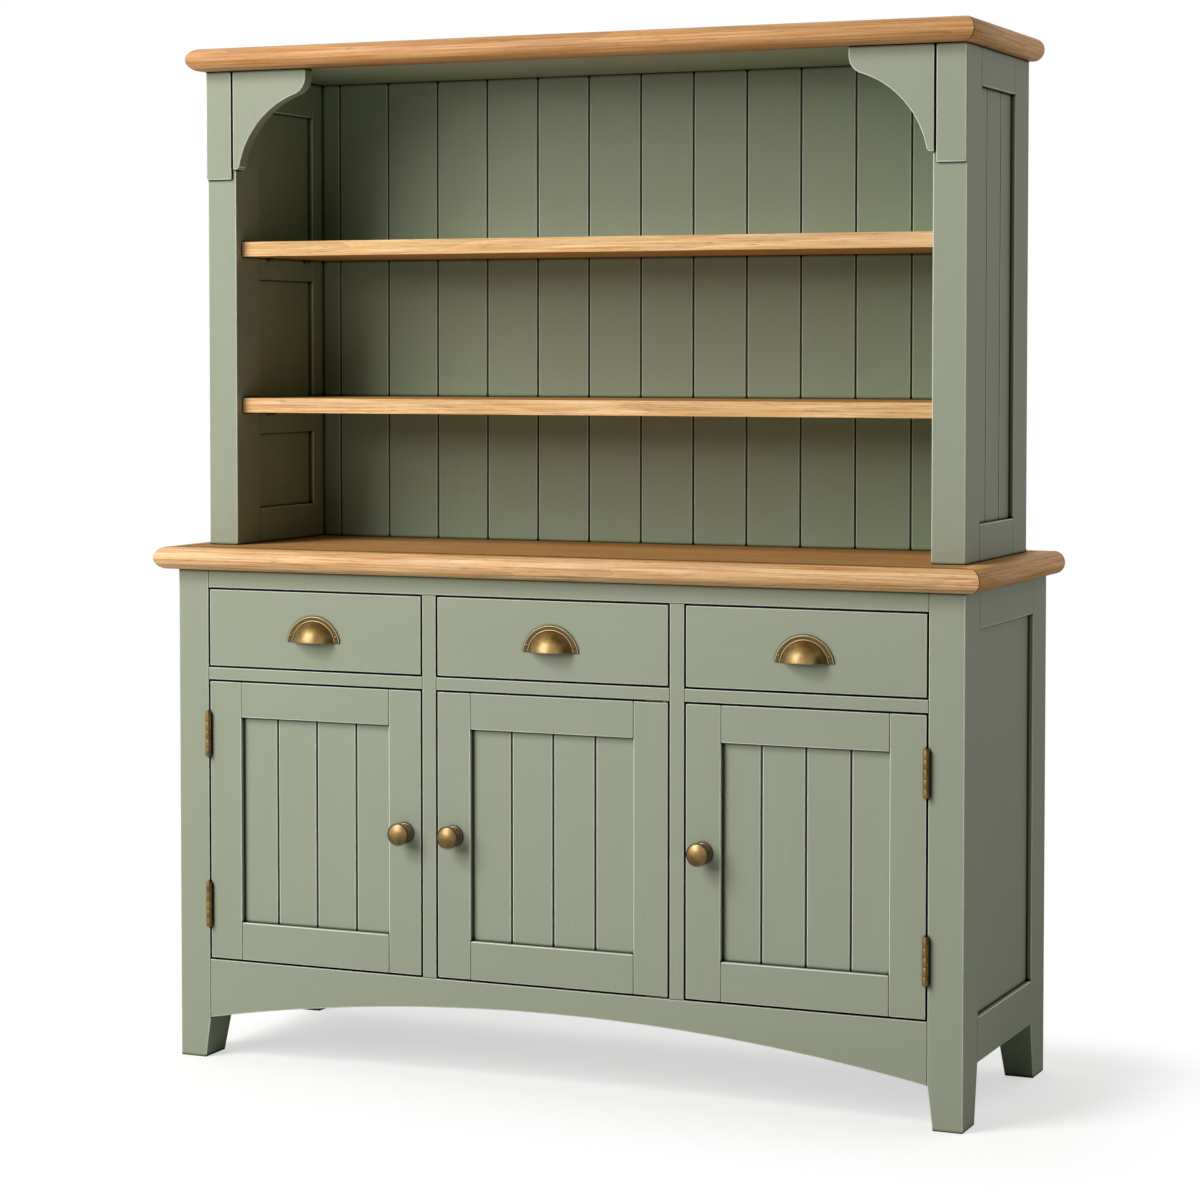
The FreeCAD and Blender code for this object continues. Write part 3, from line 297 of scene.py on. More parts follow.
def lacquered_oak(name, run, shift, stave_mm, deep, pale, roughness, level):
    """Flat-sawn oak under satin lacquer. The eye sees honey streaks, fine dark pores and a soft gloss."""
    finish, tree = new_finish(name)
    axes = add(tree, "ShaderNodeSeparateXYZ", {}, {"Vector": object_place(tree)})
    staves = maths(tree, "DIVIDE", axes.outputs[STAVE[run]], stave_mm * MM)
    count = maths(tree, "FLOOR", staves)
    own = add(tree, "ShaderNodeTexWhiteNoise", {"noise_dimensions": "1D"}, {"W": count}).outputs["Value"]
    lot = maths(tree, "MULTIPLY", own, OAK_LOTS)

    # Fibres are about 0.3 mm wide, drawn at 2.8 mm so that they show.
    fibre = noise(tree, along_grain(tree, run, OAK_FIBRE_MM, shift), 4.0, roughness=0.6, lot=lot)
    fibrous = mix(tree, remap(tree, fibre, *OAK_FIBRE_TONE), linear(deep), linear(pale))
    cut_face = noise(tree, along_grain(tree, run, OAK_RING_MM, shift), 1.5, roughness=0.4, lot=lot)
    ring = maths(tree, "FRACT", maths(tree, "MULTIPLY", cut_face, OAK_RINGS))
    ringed = tint(tree, fibrous, spread(tree, ring, *OAK_RING_TONE))

    # Pores are about 0.3 mm wide and 5 mm long, drawn at 1.6 by 26 mm so that they show.
    pores = noise(tree, along_grain(tree, run, OAK_PORE_MM, shift + OAK_PORE_SHIFT), 1.0)
    open_pore = remap(tree, pores, *OAK_PORE_OPEN)
    pitted = mix(tree, open_pore, ringed, OAK_PORE)
    toned = tint(tree, pitted, spread(tree, own, *STAVE_TONE))
    # Where the oak meets other parts it darkens: dust together with painted shade.
    dusted_and_shaded = tint(tree, toned, remap(tree, openness(tree, OAK_SEAM_REACH), *OAK_SEAM_DUST_AND_SHADE))
    jointed = mix(tree, marked(tree, "glue_line"), dusted_and_shaded, GLUE_LINE)
    gloss = spread(tree, fibre, roughness - OAK_GLOSS_SPREAD, roughness + OAK_GLOSS_SPREAD)
    cover(tree, {"Base Color": jointed, "Roughness": gloss, "IOR": 1.5, "Specular IOR Level": level,
                 "Normal": relief(tree, open_pore, 0.4, 0.15, sunk=True)})
    return finish


# The top, cornice and end oaks are darker copies of the same wood: painted shade.
OAK_TOP_SHADED = lacquered_oak("lacquered_oak_top", "lengthwise", 0.0, 92, "#B07C42", "#D4A870", 0.6, 0.0)
OAK_SHELF = lacquered_oak("lacquered_oak_shelf", "lengthwise", 3.3, 98, "#D39A58", "#FBD4A0", 0.5, 0.08)
OAK_EDGE = lacquered_oak("lacquered_oak_counter_edge", "lengthwise", 11.7, LIPPING_STAVE,
                         "#C58644", "#FFD5A0", 0.38, 0.26)
OAK_CROWN_SHADED = lacquered_oak("lacquered_oak_cornice_edge", "lengthwise", 8.2, LIPPING_STAVE,
                          "#B67A40", "#E3AE76", 0.4, 0.2)
OAK_END_SHADED = lacquered_oak("lacquered_oak_end_edge", "fore_and_aft", 5.1, LIPPING_STAVE,
                        "#BF8244", "#E0B27A", 0.5, 0.03)
print("oaks:", [finish.name for finish in (OAK_TOP_SHADED, OAK_SHELF, OAK_EDGE, OAK_CROWN_SHADED, OAK_END_SHADED)])

# %% [markdown]
# ## Planed pine
# Drawer boxes, runners, kickers and battens are plain planed pine, which only shows when a drawer or door
# is open. Pine is paler and smoother than oak, with wide soft rings and no open pores, so a shorter
# version of the same idea is enough.

# %% Pine for what is inside
PINE_PALE = linear("#E6C998")
PINE_RING = linear("#C99B62")
PINE_RING_MM = (60, 1600)
PINE_RINGS = 12.0
PINE_RING_TONE = (0.55, 1.0, 0.0, 0.7)
PINE_FIBRE_MM = (1.8, 80)
PINE_FIBRE_TONE = (0.9, 1.06)


def planed_pine(run):
    """Unfinished pine from the planer. The eye sees pale wood with soft orange rings and no gloss."""
    finish, tree = new_finish("planed_pine_" + run)
    cut_face = noise(tree, along_grain(tree, run, PINE_RING_MM, 2.0), 1.0)
    ring = maths(tree, "FRACT", maths(tree, "MULTIPLY", cut_face, PINE_RINGS))
    ringed = mix(tree, remap(tree, ring, *PINE_RING_TONE), PINE_PALE, PINE_RING)
    # Fibres are about 0.3 mm wide, drawn at 1.8 mm so that they show.
    fibre = noise(tree, along_grain(tree, run, PINE_FIBRE_MM), 3.0)
    fibrous = tint(tree, ringed, spread(tree, fibre, *PINE_FIBRE_TONE))
    cover(tree, {"Base Color": fibrous, "Roughness": 0.62, "IOR": 1.5,
                 "Normal": relief(tree, fibre, 0.25, 0.1)})
    return finish


PINE = {run: planed_pine(run) for run in AXES}
print("pines:", [finish.name for finish in PINE.values()])

# %% [markdown]
# ## Antique brass
# Knobs, cup pulls and hinges are brass that has been darkened in a bath and then relieved, so the metal
# is brown in patches and warm gold where a cloth reached it. A metal's look is all reflection: the base
# colour tints it, and the roughness spreads the highlight. Both drift with a patina a centimetre or so
# wide, the bath's dark brown stays in creases and on sunk fields that no cloth reaches, raised beads are
# rubbed bright, and fine scratches from the relieving break up the gloss. The same dark field colour is
# put on the knobs' rims as painted shade, and on their necks as patina and painted shade. A clear lacquer
# keeps the colour from changing further, and puts a whiter highlight on top of the metal's own.

# %% Brass, steel and plastic for the fittings
BRASS_RUBBED = linear("#97793E")
BRASS_BROWN = linear("#6E5528")
BRASS_PATINA_AND_SHADE = linear("#3A2D10")
BRASS_BRIGHT = linear("#BC9F64")
BRASS_DARK = linear("#1E1407")
CREASE_REACH = 5 * MM
CREASE_DARK = (0.35, 0.88)
BRASS_GLOSS = (0.54, 0.46)
ZINC_GLOSS = (0.3, 0.42)
PATINA = 14 * MM
PATINA_TONE = (0.3, 0.7)
SCRATCH = 0.6 * MM
BLOOM = 4 * MM
PIT = 0.5 * MM


def antique_brass():
    """Chemically darkened brass, relieved by hand. The eye sees soft gold highlights in brown shadows."""
    finish, tree = new_finish("antique_brass")
    place = object_place(tree)
    patina = remap(tree, noise(tree, place, 3.0, 1 / PATINA), *PATINA_TONE)
    tone = mix(tree, patina, BRASS_BROWN, BRASS_RUBBED)
    # Field faces darken: patina on the pull plates, painted shade on the knob rims, and both on the knob
    # necks.
    sunk = mix(tree, marked(tree, "field"), tone, BRASS_PATINA_AND_SHADE)
    polished = mix(tree, marked(tree, "raised"), sunk, BRASS_BRIGHT)
    rubbed = remap(tree, openness(tree, CREASE_REACH), *CREASE_DARK)
    colour = mix(tree, rubbed, BRASS_DARK, polished)
    # Relieving scratches are about 0.05 mm wide, drawn at 0.6 mm so that they show.
    scratch = noise(tree, place, 2.0, 1 / SCRATCH)
    cover(tree, {"Base Color": colour, "Metallic": 1.0, "Roughness": spread(tree, rubbed, *BRASS_GLOSS),
                 "Normal": relief(tree, scratch, 0.12, 0.05), "Coat Weight": 0.8, "Coat Roughness": 0.26})
    return finish


def zinc_steel():
    """Bright zinc plate on pressed steel. The eye sees a grey metal with a slightly crystalline bloom."""
    finish, tree = new_finish("zinc_plated_steel")
    cells = add(tree, "ShaderNodeTexVoronoi", {}, {"Vector": object_place(tree), "Scale": 1 / BLOOM})
    bloom = cells.outputs["Distance"]
    colour = mix(tree, bloom, linear("#B9BCBE"), linear("#A3A7AA"))
    cover(tree, {"Base Color": colour, "Metallic": 1.0, "Roughness": spread(tree, bloom, *ZINC_GLOSS)})
    return finish


def moulded_plastic():
    """Brown moulded plastic of the catches. The eye sees a matte skin with a fine spark-eroded texture."""
    finish, tree = new_finish("moulded_brown_plastic")
    # Spark erosion leaves pits of about 0.05 mm, drawn at 0.5 mm so that they show.
    pits = noise(tree, object_place(tree), 2.0, 1 / PIT)
    colour = mix(tree, pits, linear("#4A3A2C"), linear("#57473A"))
    cover(tree, {"Base Color": colour, "Roughness": 0.55, "IOR": 1.46,
                 "Normal": relief(tree, pits, 0.2, 0.05)})
    return finish


BRASS = antique_brass()
STEEL = zinc_steel()
PLASTIC = moulded_plastic()
print("fittings:", BRASS.name, STEEL.name, PLASTIC.name)

# %% [markdown]
# ## Working on a shape
# A shape is made and cut as a bmesh, with a few steps that come back in every cell: move and turn it, merge
# corners that lie close together, cut it with a plane, and close the cut. In the end it becomes an object
# that moves with its body, wears its finishes, and stands for the measured piece it replaces. Its place
# stays in its mesh, so patterns on Object coordinates line up from piece to piece.

# %% Steps of a shape
ON_PLANE = 1e-7
SEAM = 0.01


def move(shape, by):
    """Moves a whole shape."""
    bmesh.ops.translate(shape, verts=shape.verts, vec=by)


def turn(shape, angle, axis):
    """Turns a whole shape about an axis through the origin."""
    bmesh.ops.rotate(shape, verts=shape.verts, cent=(0, 0, 0), matrix=Matrix.Rotation(angle, 3, axis))


def weld(shape, reach_mm=SEAM):
    """Merges corners that lie within reach of each other."""
    bmesh.ops.remove_doubles(shape, verts=shape.verts, dist=reach_mm * MM)


def cut(shape, place, away):
    """Cuts off what lies beyond a plane."""
    everything = shape.verts[:] + shape.edges[:] + shape.faces[:]
    bmesh.ops.bisect_plane(shape, geom=everything, dist=ON_PLANE, plane_co=place, plane_no=away,
                           clear_outer=True)


def close(shape):
    """Fills a shape's holes and returns the new faces."""
    return bmesh.ops.holes_fill(shape, edges=[edge for edge in shape.edges if edge.is_boundary])["faces"]


def gathered(parts):
    """Several shapes in one bmesh."""
    whole = bmesh.new()
    for part in parts:
        mesh = bpy.data.meshes.new("part")
        part.to_mesh(mesh)
        part.free()
        whole.from_mesh(mesh)
        bpy.data.meshes.remove(mesh)
    return whole


def standing(shape, name, finishes):
    """Makes a shape an object in the scene, with its finishes."""
    mesh = bpy.data.meshes.new(name)
    shape.to_mesh(mesh)
    shape.free()
    for finish in finishes:
        mesh.materials.append(finish)
    piece = bpy.data.objects.new(name, mesh)
    bpy.context.scene.collection.objects.link(piece)
    return piece


def fit(shape, node, ending, finishes):
    """Makes a shape a piece on its node's body, with its finishes, in place of that node."""
    piece = standing(shape, node + ending, finishes)
    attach(piece, BODY_OF[node])
    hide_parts(node)
    return piece


# %% [markdown]
# ## Eased arrises
# A joiner never leaves a sharp corner: every edge gets a stroke of sandpaper, and that small round is what
# catches the light along a door or a drawer. Measured boards arrive as loose triangles with sharp corners.
# A board's own triangles are gathered first, which is simple because they come in order and a solid is
# complete when each edge has met its partner. Then doubles merge, flat triangles dissolve into faces, and
# the outward corners are bevelled. Tenons and mortises stay square, as they would in the workshop: their
# edges are known by lying inside the box of the board that they join. Where two boards meet flush, the
# rounds make a fine groove that paint fills, so only the other arrises are marked, to be painted paler:
# partly a thinner film, partly a painted highlight. Panels have finer corners than frames, so that their
# V-grooves stay narrow.

# %% Gather the solids of a node
FLAT = math.radians(0.5)
SAME_CORNER = 0.002


def closed_solids(node):
    """One bmesh for each solid of a node, merged and with flat faces whole."""
    whole = bmesh.new()
    whole.from_mesh(frame["nodes"][node].data)
    spans = []
    start = 0
    waiting = set()
    for face in whole.faces:
        spots = [tuple(round(c / MM, 3) for c in corner.co) for corner in face.verts]
        for near, far in zip(spots, spots[1:] + spots[:1]):
            if (far, near) in waiting:
                waiting.remove((far, near))
            else:
                waiting.add((near, far))
        if not waiting:
            spans.append((start, face.index + 1))
            start = face.index + 1
    parts = []
    for first, end in spans:
        part = whole.copy()
        others = [face for face in part.faces if not first <= face.index < end]
        bmesh.ops.delete(part, geom=others, context="FACES")
        weld(part, SAME_CORNER)
        bmesh.ops.dissolve_limit(part, angle_limit=FLAT, verts=part.verts, edges=part.edges)
        parts.append(part)
    whole.free()
    return parts


def box_of(part):
    """The low and high corners of a shape's box."""
    low = Vector(map(min, zip(*(corner.co for corner in part.verts))))
    high = Vector(map(max, zip(*(corner.co for corner in part.verts))))
    return low, high


SOLID_BOXES = {body: [box_of(part) for node in members for part in closed_solids(node)]
               for body, members in BODIES.items()}
print("solids:", {body: len(boxes) for body, boxes in SOLID_BOXES.items()})

# %% Ease the arrises of a board
BARELY_CURVED = math.radians(0.6)
CURVED = math.radians(20)
SHARP = math.radians(30)
SKIN = 0.05 * MM
NEAR = 2 * MM
ARRIS_SEGMENTS = 3


def within(spot, box, skin=SKIN):
    """Whether a point lies inside a box, deeper than a skin, which may also be negative to reach outside."""
    low, high = box
    return all(low[axis] + skin < spot[axis] < high[axis] - skin for axis in range(3))


def meeting(box, boxes):
    """The other boxes that a box touches."""
    low, high = box
    return [other for other in boxes if other != box
            and all(other[0][axis] < high[axis] + NEAR and low[axis] < other[1][axis] + NEAR
                    for axis in range(3))]


def outward(part, others=()):
    """The outward corners of a shape, except those of tenons and mortises that lie inside other boxes."""
    corners = [edge for edge in part.edges if edge.is_manifold and edge.calc_face_angle_signed(0.0) > SHARP]
    return [edge for edge in corners
            if not any(all(within(corner.co, box) for corner in edge.verts) for box in others)]


def ease(part, round_mm, corners=None, name="arris", others=()):
    """Rounds a shape's outward corners, or those given, and marks the rounds that don't meet other boxes."""
    layer = part.faces.layers.float.get(name) or part.faces.layers.float.new(name)
    for face in part.faces:
        turns = [abs(edge.calc_face_angle(0.0)) for edge in face.edges]
        face.smooth = any(BARELY_CURVED < angle < CURVED for angle in turns)
    edges = outward(part) if corners is None else corners
    made = bmesh.ops.bevel(part, geom=edges, offset=round_mm * MM, offset_type="OFFSET", affect="EDGES",
                           segments=ARRIS_SEGMENTS, profile=0.5, clamp_overlap=True, material=-1)
    for face in made["faces"]:
        middle = face.calc_center_median()
        face[layer] = 0.0 if any(within(middle, box, -NEAR) for box in others) else 1.0
        face.smooth = True
    return part


def eased_boards(node, finishes, round_mm, run=None):
    """A node's boards with eased arrises, each with the grain along its length unless a run is given."""
    parts = closed_solids(node)
    order = list(AXES)
    for part in parts:
        own_box = box_of(part)
        extent = own_box[1] - own_box[0]
        own = order.index(run) if run else max(range(3), key=lambda axis: extent[axis])
        for face in part.faces:
            face.material_index = own
        others = meeting(own_box, SOLID_BOXES[BODY_OF[node]])
        ease(part, round_mm, outward(part, others), others=others)
    count = len(parts)
    fit(gathered(parts), node, "_eased", [finishes[name] for name in order])
    return count


# %% Paint the carcass, doors and drawer fronts
BOARDED = {"base_back_panel", "hutch_back_panel", "hutch_inner_panels", "hutch_outer_panels",
           "base_side_panels"}
PANEL_ARRIS = 0.7
FRAME_ARRIS = 1.4
painted = [node for node, slot in SLOT_OF.items() if slot == "sage_paint"]
boards = 0
for node in painted:
    panel = node in BOARDED or node.endswith("_panel")
    boards += eased_boards(node, PAINT, PANEL_ARRIS if panel else FRAME_ARRIS, "upright" if panel else None)
print("painted:", boards, "boards in", len(painted), "nodes")

# %% Leave the inside in bare pine
PINE_ARRIS = 0.8
bare = [node for node, slot in SLOT_OF.items() if slot == "pine"]
boards = sum(eased_boards(node, PINE, PINE_ARRIS) for node in bare)
print("pine:", boards, "boards in", len(bare), "nodes")

# %% [markdown]
# ## Oak boards and lippings
# The counter and the cornice are each a glued-up board with a lipping planted round three sides, rounded
# to a full bullnose and mitred at the front corners. A measured bullnose has wide facets that would show
# in its highlight, so each lipping is remade: a bar with two edges bevelled to half its thickness is a
# bullnose, and one cut with a diagonal plane is a mitre. The cut's edges are eased before gluing up, which
# leaves the fine dark line that shows at the real corners.

# %% Boards and shelves
OAK_BOARDS = ("counter_board", "cornice_board", "hutch_shelf_lower", "hutch_shelf_upper")
OAK_ARRIS = 0.5
FACES_FRONT = -0.5


def oak_board(node):
    """A glued-up oak board: its front faces take the paler shelf oak, and all others the darker top oak,
    which is painted shade.
    """
    parts = closed_solids(node)
    for part in parts:
        ease(part, OAK_ARRIS)
        # Front faces take the paler oak; every other face takes the darker top oak, a painted shade.
        for face in part.faces:
            face.material_index = 1 if face.normal.y < FACES_FRONT else 0
    return fit(gathered(parts), node, "_eased", [OAK_TOP_SHADED, OAK_SHELF])


for node in OAK_BOARDS:
    print(oak_board(node).name)

# %% Mitred bullnose lippings
NOSE_SEGMENTS = 14
NOSE_SHARE = 0.4999
NOSE_TIP = 0.02
MITRE_EASE = 0.9
FACES_UP = 0.98
SAME = 1e-6


def bar(low, high):
    """A square bar between two corners."""
    shape = bmesh.new()
    bmesh.ops.create_cube(shape, size=1.0)
    bmesh.ops.scale(shape, verts=shape.verts, vec=high - low)
    move(shape, (low + high) / 2)
    return shape


def bullnose(shape, axis, outside, thick):
    """Rounds a bar's two edges on its outside face to a half circle."""
    edges = [edge for edge in shape.edges
             if all(abs(corner.co[axis] - outside) < SAME for corner in edge.verts)
             and abs(edge.verts[0].co.z - edge.verts[1].co.z) < SAME]
    bmesh.ops.bevel(shape, geom=edges, offset=thick * NOSE_SHARE, offset_type="OFFSET", affect="EDGES",
                    segments=NOSE_SEGMENTS, profile=0.5, clamp_overlap=False, material=-1)
    weld(shape, NOSE_TIP)


def mitre(shape, corner, away):
    """Cuts a bar on the diagonal through a front corner, closes the cut, and returns the edges round it."""
    cut(shape, corner, away)
    return list({edge for face in close(shape) for edge in face.edges})


def lippings(node, board_node, front_finish):
    """The three lippings round a top: a front one and two ends, mitred at the front corners."""
    low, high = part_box(node)
    inner_low, inner_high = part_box(board_node)
    thick = high.z - low.z
    front = bar(low, Vector((high.x, inner_low.y, high.z)))
    left = bar(low, Vector((inner_low.x, high.y, high.z)))
    right = bar(Vector((inner_high.x, low.y, low.z)), high)
    for shape, axis, outside in ((front, 1, low.y), (left, 0, low.x), (right, 0, high.x)):
        bullnose(shape, axis, outside, thick)
    left_corner = Vector((low.x, low.y, low.z))
    right_corner = Vector((high.x, low.y, low.z))
    front_cuts = mitre(front, left_corner, (-1, 1, 0)) + mitre(front, right_corner, (1, 1, 0))
    left_cuts = mitre(left, left_corner, (1, -1, 0))
    right_cuts = mitre(right, right_corner, (-1, -1, 0))
    for part, index, cuts in ((front, 0, front_cuts), (left, 1, left_cuts), (right, 1, right_cuts)):
        # The front lipping's flat top takes the darker top oak, and the end lippings the darker end oak:
        # painted shade.
        for face in part.faces:
            face.material_index = 2 if part is front and face.normal.z > FACES_UP else index
        ease(part, MITRE_EASE, cuts, "glue_line")
    return fit(gathered([front, left, right]), node, "_round", [front_finish, OAK_END_SHADED, OAK_TOP_SHADED])


for node, board_node, finish in (("counter_lippings", "counter_board", OAK_EDGE),
                                 ("cornice_lippings", "cornice_board", OAK_CROWN_SHADED)):
    piece = lippings(node, board_node, finish)
    print(piece.name, len(piece.data.polygons), "faces")

# %% [markdown]
# ## Turned knobs
# A knob is turned on a lathe from brass bar: a stepped rosette against the door, a waisted neck, and a
# broad head with a crisp rim and a slightly domed face. Spinning half of its outline about the axis does
# what the lathe does. The dome is an arc, which a single vertex leaves behind when it is spun about the
# arc's centre. Only the face is rubbed. The rim is marked darkest, a painted shade that outlines the face,
# and the neck and rosette a darker brown, partly patina and partly painted shade.

# %% A lathe for round brass
def through(half_chord, rise):
    """Radius of the arc with that half chord and that rise."""
    return (half_chord ** 2 + rise ** 2) / (2 * rise)


def crown(shape, foot, reach, rise, tip, steps):
    """Spins a foot vertex at that reach from the axis up to a tip on the axis, and leaves an arc behind."""
    ball = through(reach, rise)
    centre = (0, (ball - tip) * MM, 0)
    bmesh.ops.spin(shape, geom=[foot], cent=centre, axis=(0, 0, 1), angle=-math.asin(reach / ball),
                   steps=steps)


def lathe(shape, outline, steps, centre=(0, 0, 0)):
    """Spins an outline a full turn about the axis along Y, and closes the seam."""
    bmesh.ops.spin(shape, geom=outline, cent=centre, axis=(0, 1, 0), angle=math.tau, steps=steps,
                   use_merge=True)
    weld(shape)
    bmesh.ops.recalc_face_normals(shape, faces=shape.faces)


def mark(shape, name, value, start=-1.0):
    """Gives faces a value that the brass reads, all of them or only those behind a depth along Y."""
    layer = shape.faces.layers.float.get(name) or shape.faces.layers.float.new(name)
    for face in shape.faces:
        if face.calc_center_median().y > start:
            face[layer] = value


# %% Knobs by spinning an outline
# Each point is a distance from the axis and a height above the door, in mm.
KNOB_OUTLINE = [(16.5, 0), (16.5, 1.9), (15.9, 2.5), (13.5, 2.5), (13.5, 4.4), (12.9, 5), (9.8, 6.4),
                (8.5, 8.4), (8.5, 16), (8.9, 18), (10.4, 20.6), (13.4, 22.9), (17, 24.2), (18.5, 24.6),
                (19, 25.2), (19, 26.8), (18.5, 27.4), (17.7, 27.5), (17.3, 27), (16.9, 27.3)]
KNOB_TIP = 32
KNOB_RIM = 24.4
KNOB_FACE = 27.47
KNOB_TURNS = 72
KNOB_CROWN_STEPS = 12
RIM_PAINTED_SHADE = 1.0
NECK_PATINA_AND_SHADE = 0.55


def chain(shape, points):
    """A wire through points, given as distance from the axis and height along it, in mm."""
    corners = [shape.verts.new((out * MM, -up * MM, 0)) for out, up in points]
    for near, far in zip(corners, corners[1:]):
        shape.edges.new((near, far))
    return corners[-1]


def turned_knob(node):
    """A brass knob on a door, with its axis out of the door's face."""
    low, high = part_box(node)
    shape = bmesh.new()
    foot = chain(shape, KNOB_OUTLINE)
    reach, height = KNOB_OUTLINE[-1]
    crown(shape, foot, reach, KNOB_TIP - height, KNOB_TIP, KNOB_CROWN_STEPS)
    lathe(shape, shape.verts[:] + shape.edges[:], KNOB_TURNS)
    close(shape)
    bmesh.ops.recalc_face_normals(shape, faces=shape.faces)
    # The rim is darkest, as painted shade; the neck and rosette are darker brown, as patina and painted
    # shade.
    mark(shape, "field", RIM_PAINTED_SHADE, -KNOB_FACE * MM)
    mark(shape, "field", NECK_PATINA_AND_SHADE, -KNOB_RIM * MM)
    move(shape, ((low.x + high.x) / 2, high.y, (low.z + high.z) / 2))
    for face in shape.faces:
        face.smooth = True
    return fit(shape, node, "_turned", [BRASS])


for tag in ("left", "middle", "right"):
    knob = turned_knob(f"door_{tag}_knob")
    print(knob.name, [round(v / MM, 1) for v in knob.dimensions])

# %% [markdown]
# ## Cast cup pulls
# A cup pull is half a domed shell on an arched plate with raised beads at its rims and two round-headed
# screws. It could be one lathe turning cut in half, but the plate's arch is a little flatter than the
# dome, so they are separate: an arc spun a full turn makes the dome, two circles bridged make the plate,
# and a small ring spun along each rim makes a bead. A level plane then cuts the straight lower edge.

# %% Domes, plates and beads
PULL_PLATE = 1.6
PULL_WALL = 2.0
PULL_DOME = 39.5
PULL_DOME_RISE = 35.0
DOME_RADIUS = through(PULL_DOME, PULL_DOME_RISE)
DOME_CROWN_STEPS = 20
PULL_TURNS = 96
BEAD = 1.0
BEAD_SIDES = 10
SLIVER = 0.06


def keep_above(shape):
    """Cuts a shape off at its lower edge, and merges the slivers that the cut leaves."""
    cut(shape, (0, 0, 0), (0, 0, -1))
    weld(shape, SLIVER)


def bead(centre_up, radius):
    """A raised round bead along an arch of the plate."""
    ring = bmesh.new()
    bmesh.ops.create_circle(ring, radius=BEAD * MM, segments=BEAD_SIDES)
    move(ring, (radius * MM, -PULL_PLATE * MM, centre_up * MM))
    lathe(ring, ring.edges[:], PULL_TURNS, (0, 0, centre_up * MM))
    return ring


def cup_dome(reach, centre_up):
    """The domed shell of a pull, before its lower edge is cut."""
    dome = bmesh.new()
    height = reach - PULL_PLATE
    foot = dome.verts.new((DOME_RADIUS * MM, 0, 0))
    crown(dome, foot, DOME_RADIUS, height, height, DOME_CROWN_STEPS)
    lathe(dome, dome.verts[:] + dome.edges[:], PULL_TURNS)
    if sum(face.normal.y for face in dome.faces) > 0:
        bmesh.ops.reverse_faces(dome, faces=dome.faces)
    move(dome, (0, -PULL_PLATE * MM, centre_up * MM))
    return dome


def cup_plate(arch, arch_up, dome_up):
    """The arched plate round a pull's dome, before its lower edge is cut."""
    plate = bmesh.new()
    for radius, up in ((arch, arch_up), (DOME_RADIUS - PULL_WALL, dome_up)):
        circle = bmesh.ops.create_circle(plate, radius=radius * MM, segments=PULL_TURNS)["verts"]
        bmesh.ops.translate(plate, verts=circle, vec=(0, up * MM, 0))
    bmesh.ops.bridge_loops(plate, edges=plate.edges)
    turn(plate, math.pi / 2, "X")
    top = bmesh.ops.extrude_face_region(plate, geom=plate.faces[:])
    raised = [thing for thing in top["geom"] if isinstance(thing, bmesh.types.BMVert)]
    bmesh.ops.translate(plate, verts=raised, vec=(0, -PULL_PLATE * MM, 0))
    bmesh.ops.recalc_face_normals(plate, faces=plate.faces)
    return plate


# %% Slotted round-headed screws
SCREW_SIDES = 24
SLOT_FLOOR = 0.45
LARGEST_FACET = 4


def screw_head(radius, rise, slot_mm):
    """A slotted head that stands out along -Y from the origin: two cheeks, with the slot's floor between."""
    parts = []
    for side in (-1, 0, 1):
        part = bmesh.new()
        bmesh.ops.create_uvsphere(part, u_segments=SCREW_SIDES, v_segments=SCREW_SIDES // 2, radius=MM)
        high = rise if side else rise * SLOT_FLOOR
        bmesh.ops.scale(part, verts=part.verts, vec=(radius, high, radius))
        cut(part, (0, 0, 0), (0, 1, 0))
        close(part)
        if side:
            cut(part, (0, 0, slot_mm / 2 * side * MM), (0, 0, -side))
            close(part)
        bmesh.ops.recalc_face_normals(part, faces=part.faces)
        for face in part.faces:
            face.smooth = len(face.verts) <= LARGEST_FACET
        parts.append(part)
    return gathered(parts)


PULL_SCREW = (2.5, 1.5, 0.7)
sample = screw_head(*PULL_SCREW)
print("screw head:", len(sample.faces), "faces")
sample.free()

# %% Put the pulls together
PULL_SCREW_OUT = 42.4
PULL_SCREW_UP = 9.7
PULL_SCREW_TURN = 0.6
PLATE_FIELD = 0.85
DOME_ARRIS = 0.5
PLATE_ARRIS = 0.3
BEAD_SINK = 0.9


def cup_pull(node):
    """A brass cup pull on a drawer front: dome, plate, two beads and two screws."""
    low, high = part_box(node)
    extent = (high - low) / MM
    arch = through(extent.x / 2, extent.z)
    arch_up = extent.z - arch
    dome_up = PULL_DOME_RISE - DOME_RADIUS
    dome = cup_dome(extent.y, dome_up)
    keep_above(dome)
    bmesh.ops.solidify(dome, geom=dome.faces[:], thickness=PULL_WALL * MM)
    ease(dome, DOME_ARRIS)
    weld(dome)
    plate = cup_plate(arch, arch_up, dome_up)
    mark(plate, "field", PLATE_FIELD)
    foot = bead(dome_up, DOME_RADIUS + BEAD * BEAD_SINK)
    rim = bead(arch_up, arch - BEAD)
    for part in (foot, rim):
        mark(part, "raised", 1.0)
    parts = [dome]
    for part in (plate, foot, rim):
        keep_above(part)
        close(part)
        parts.append(ease(part, PLATE_ARRIS))
    for side in (-1, 1):
        screw = screw_head(*PULL_SCREW)
        turn(screw, PULL_SCREW_TURN * side, "Y")
        move(screw, (PULL_SCREW_OUT * side * MM, -PULL_PLATE * MM, PULL_SCREW_UP * MM))
        parts.append(screw)
    whole = gathered(parts)
    move(whole, ((low.x + high.x) / 2, high.y, low.z))
    return fit(whole, node, "_cast", [BRASS])


for tag in ("left", "middle", "right"):
    pull = cup_pull(f"drawer_{tag}_pull")
    print(pull.name, [round(v / MM, 1) for v in pull.dimensions])

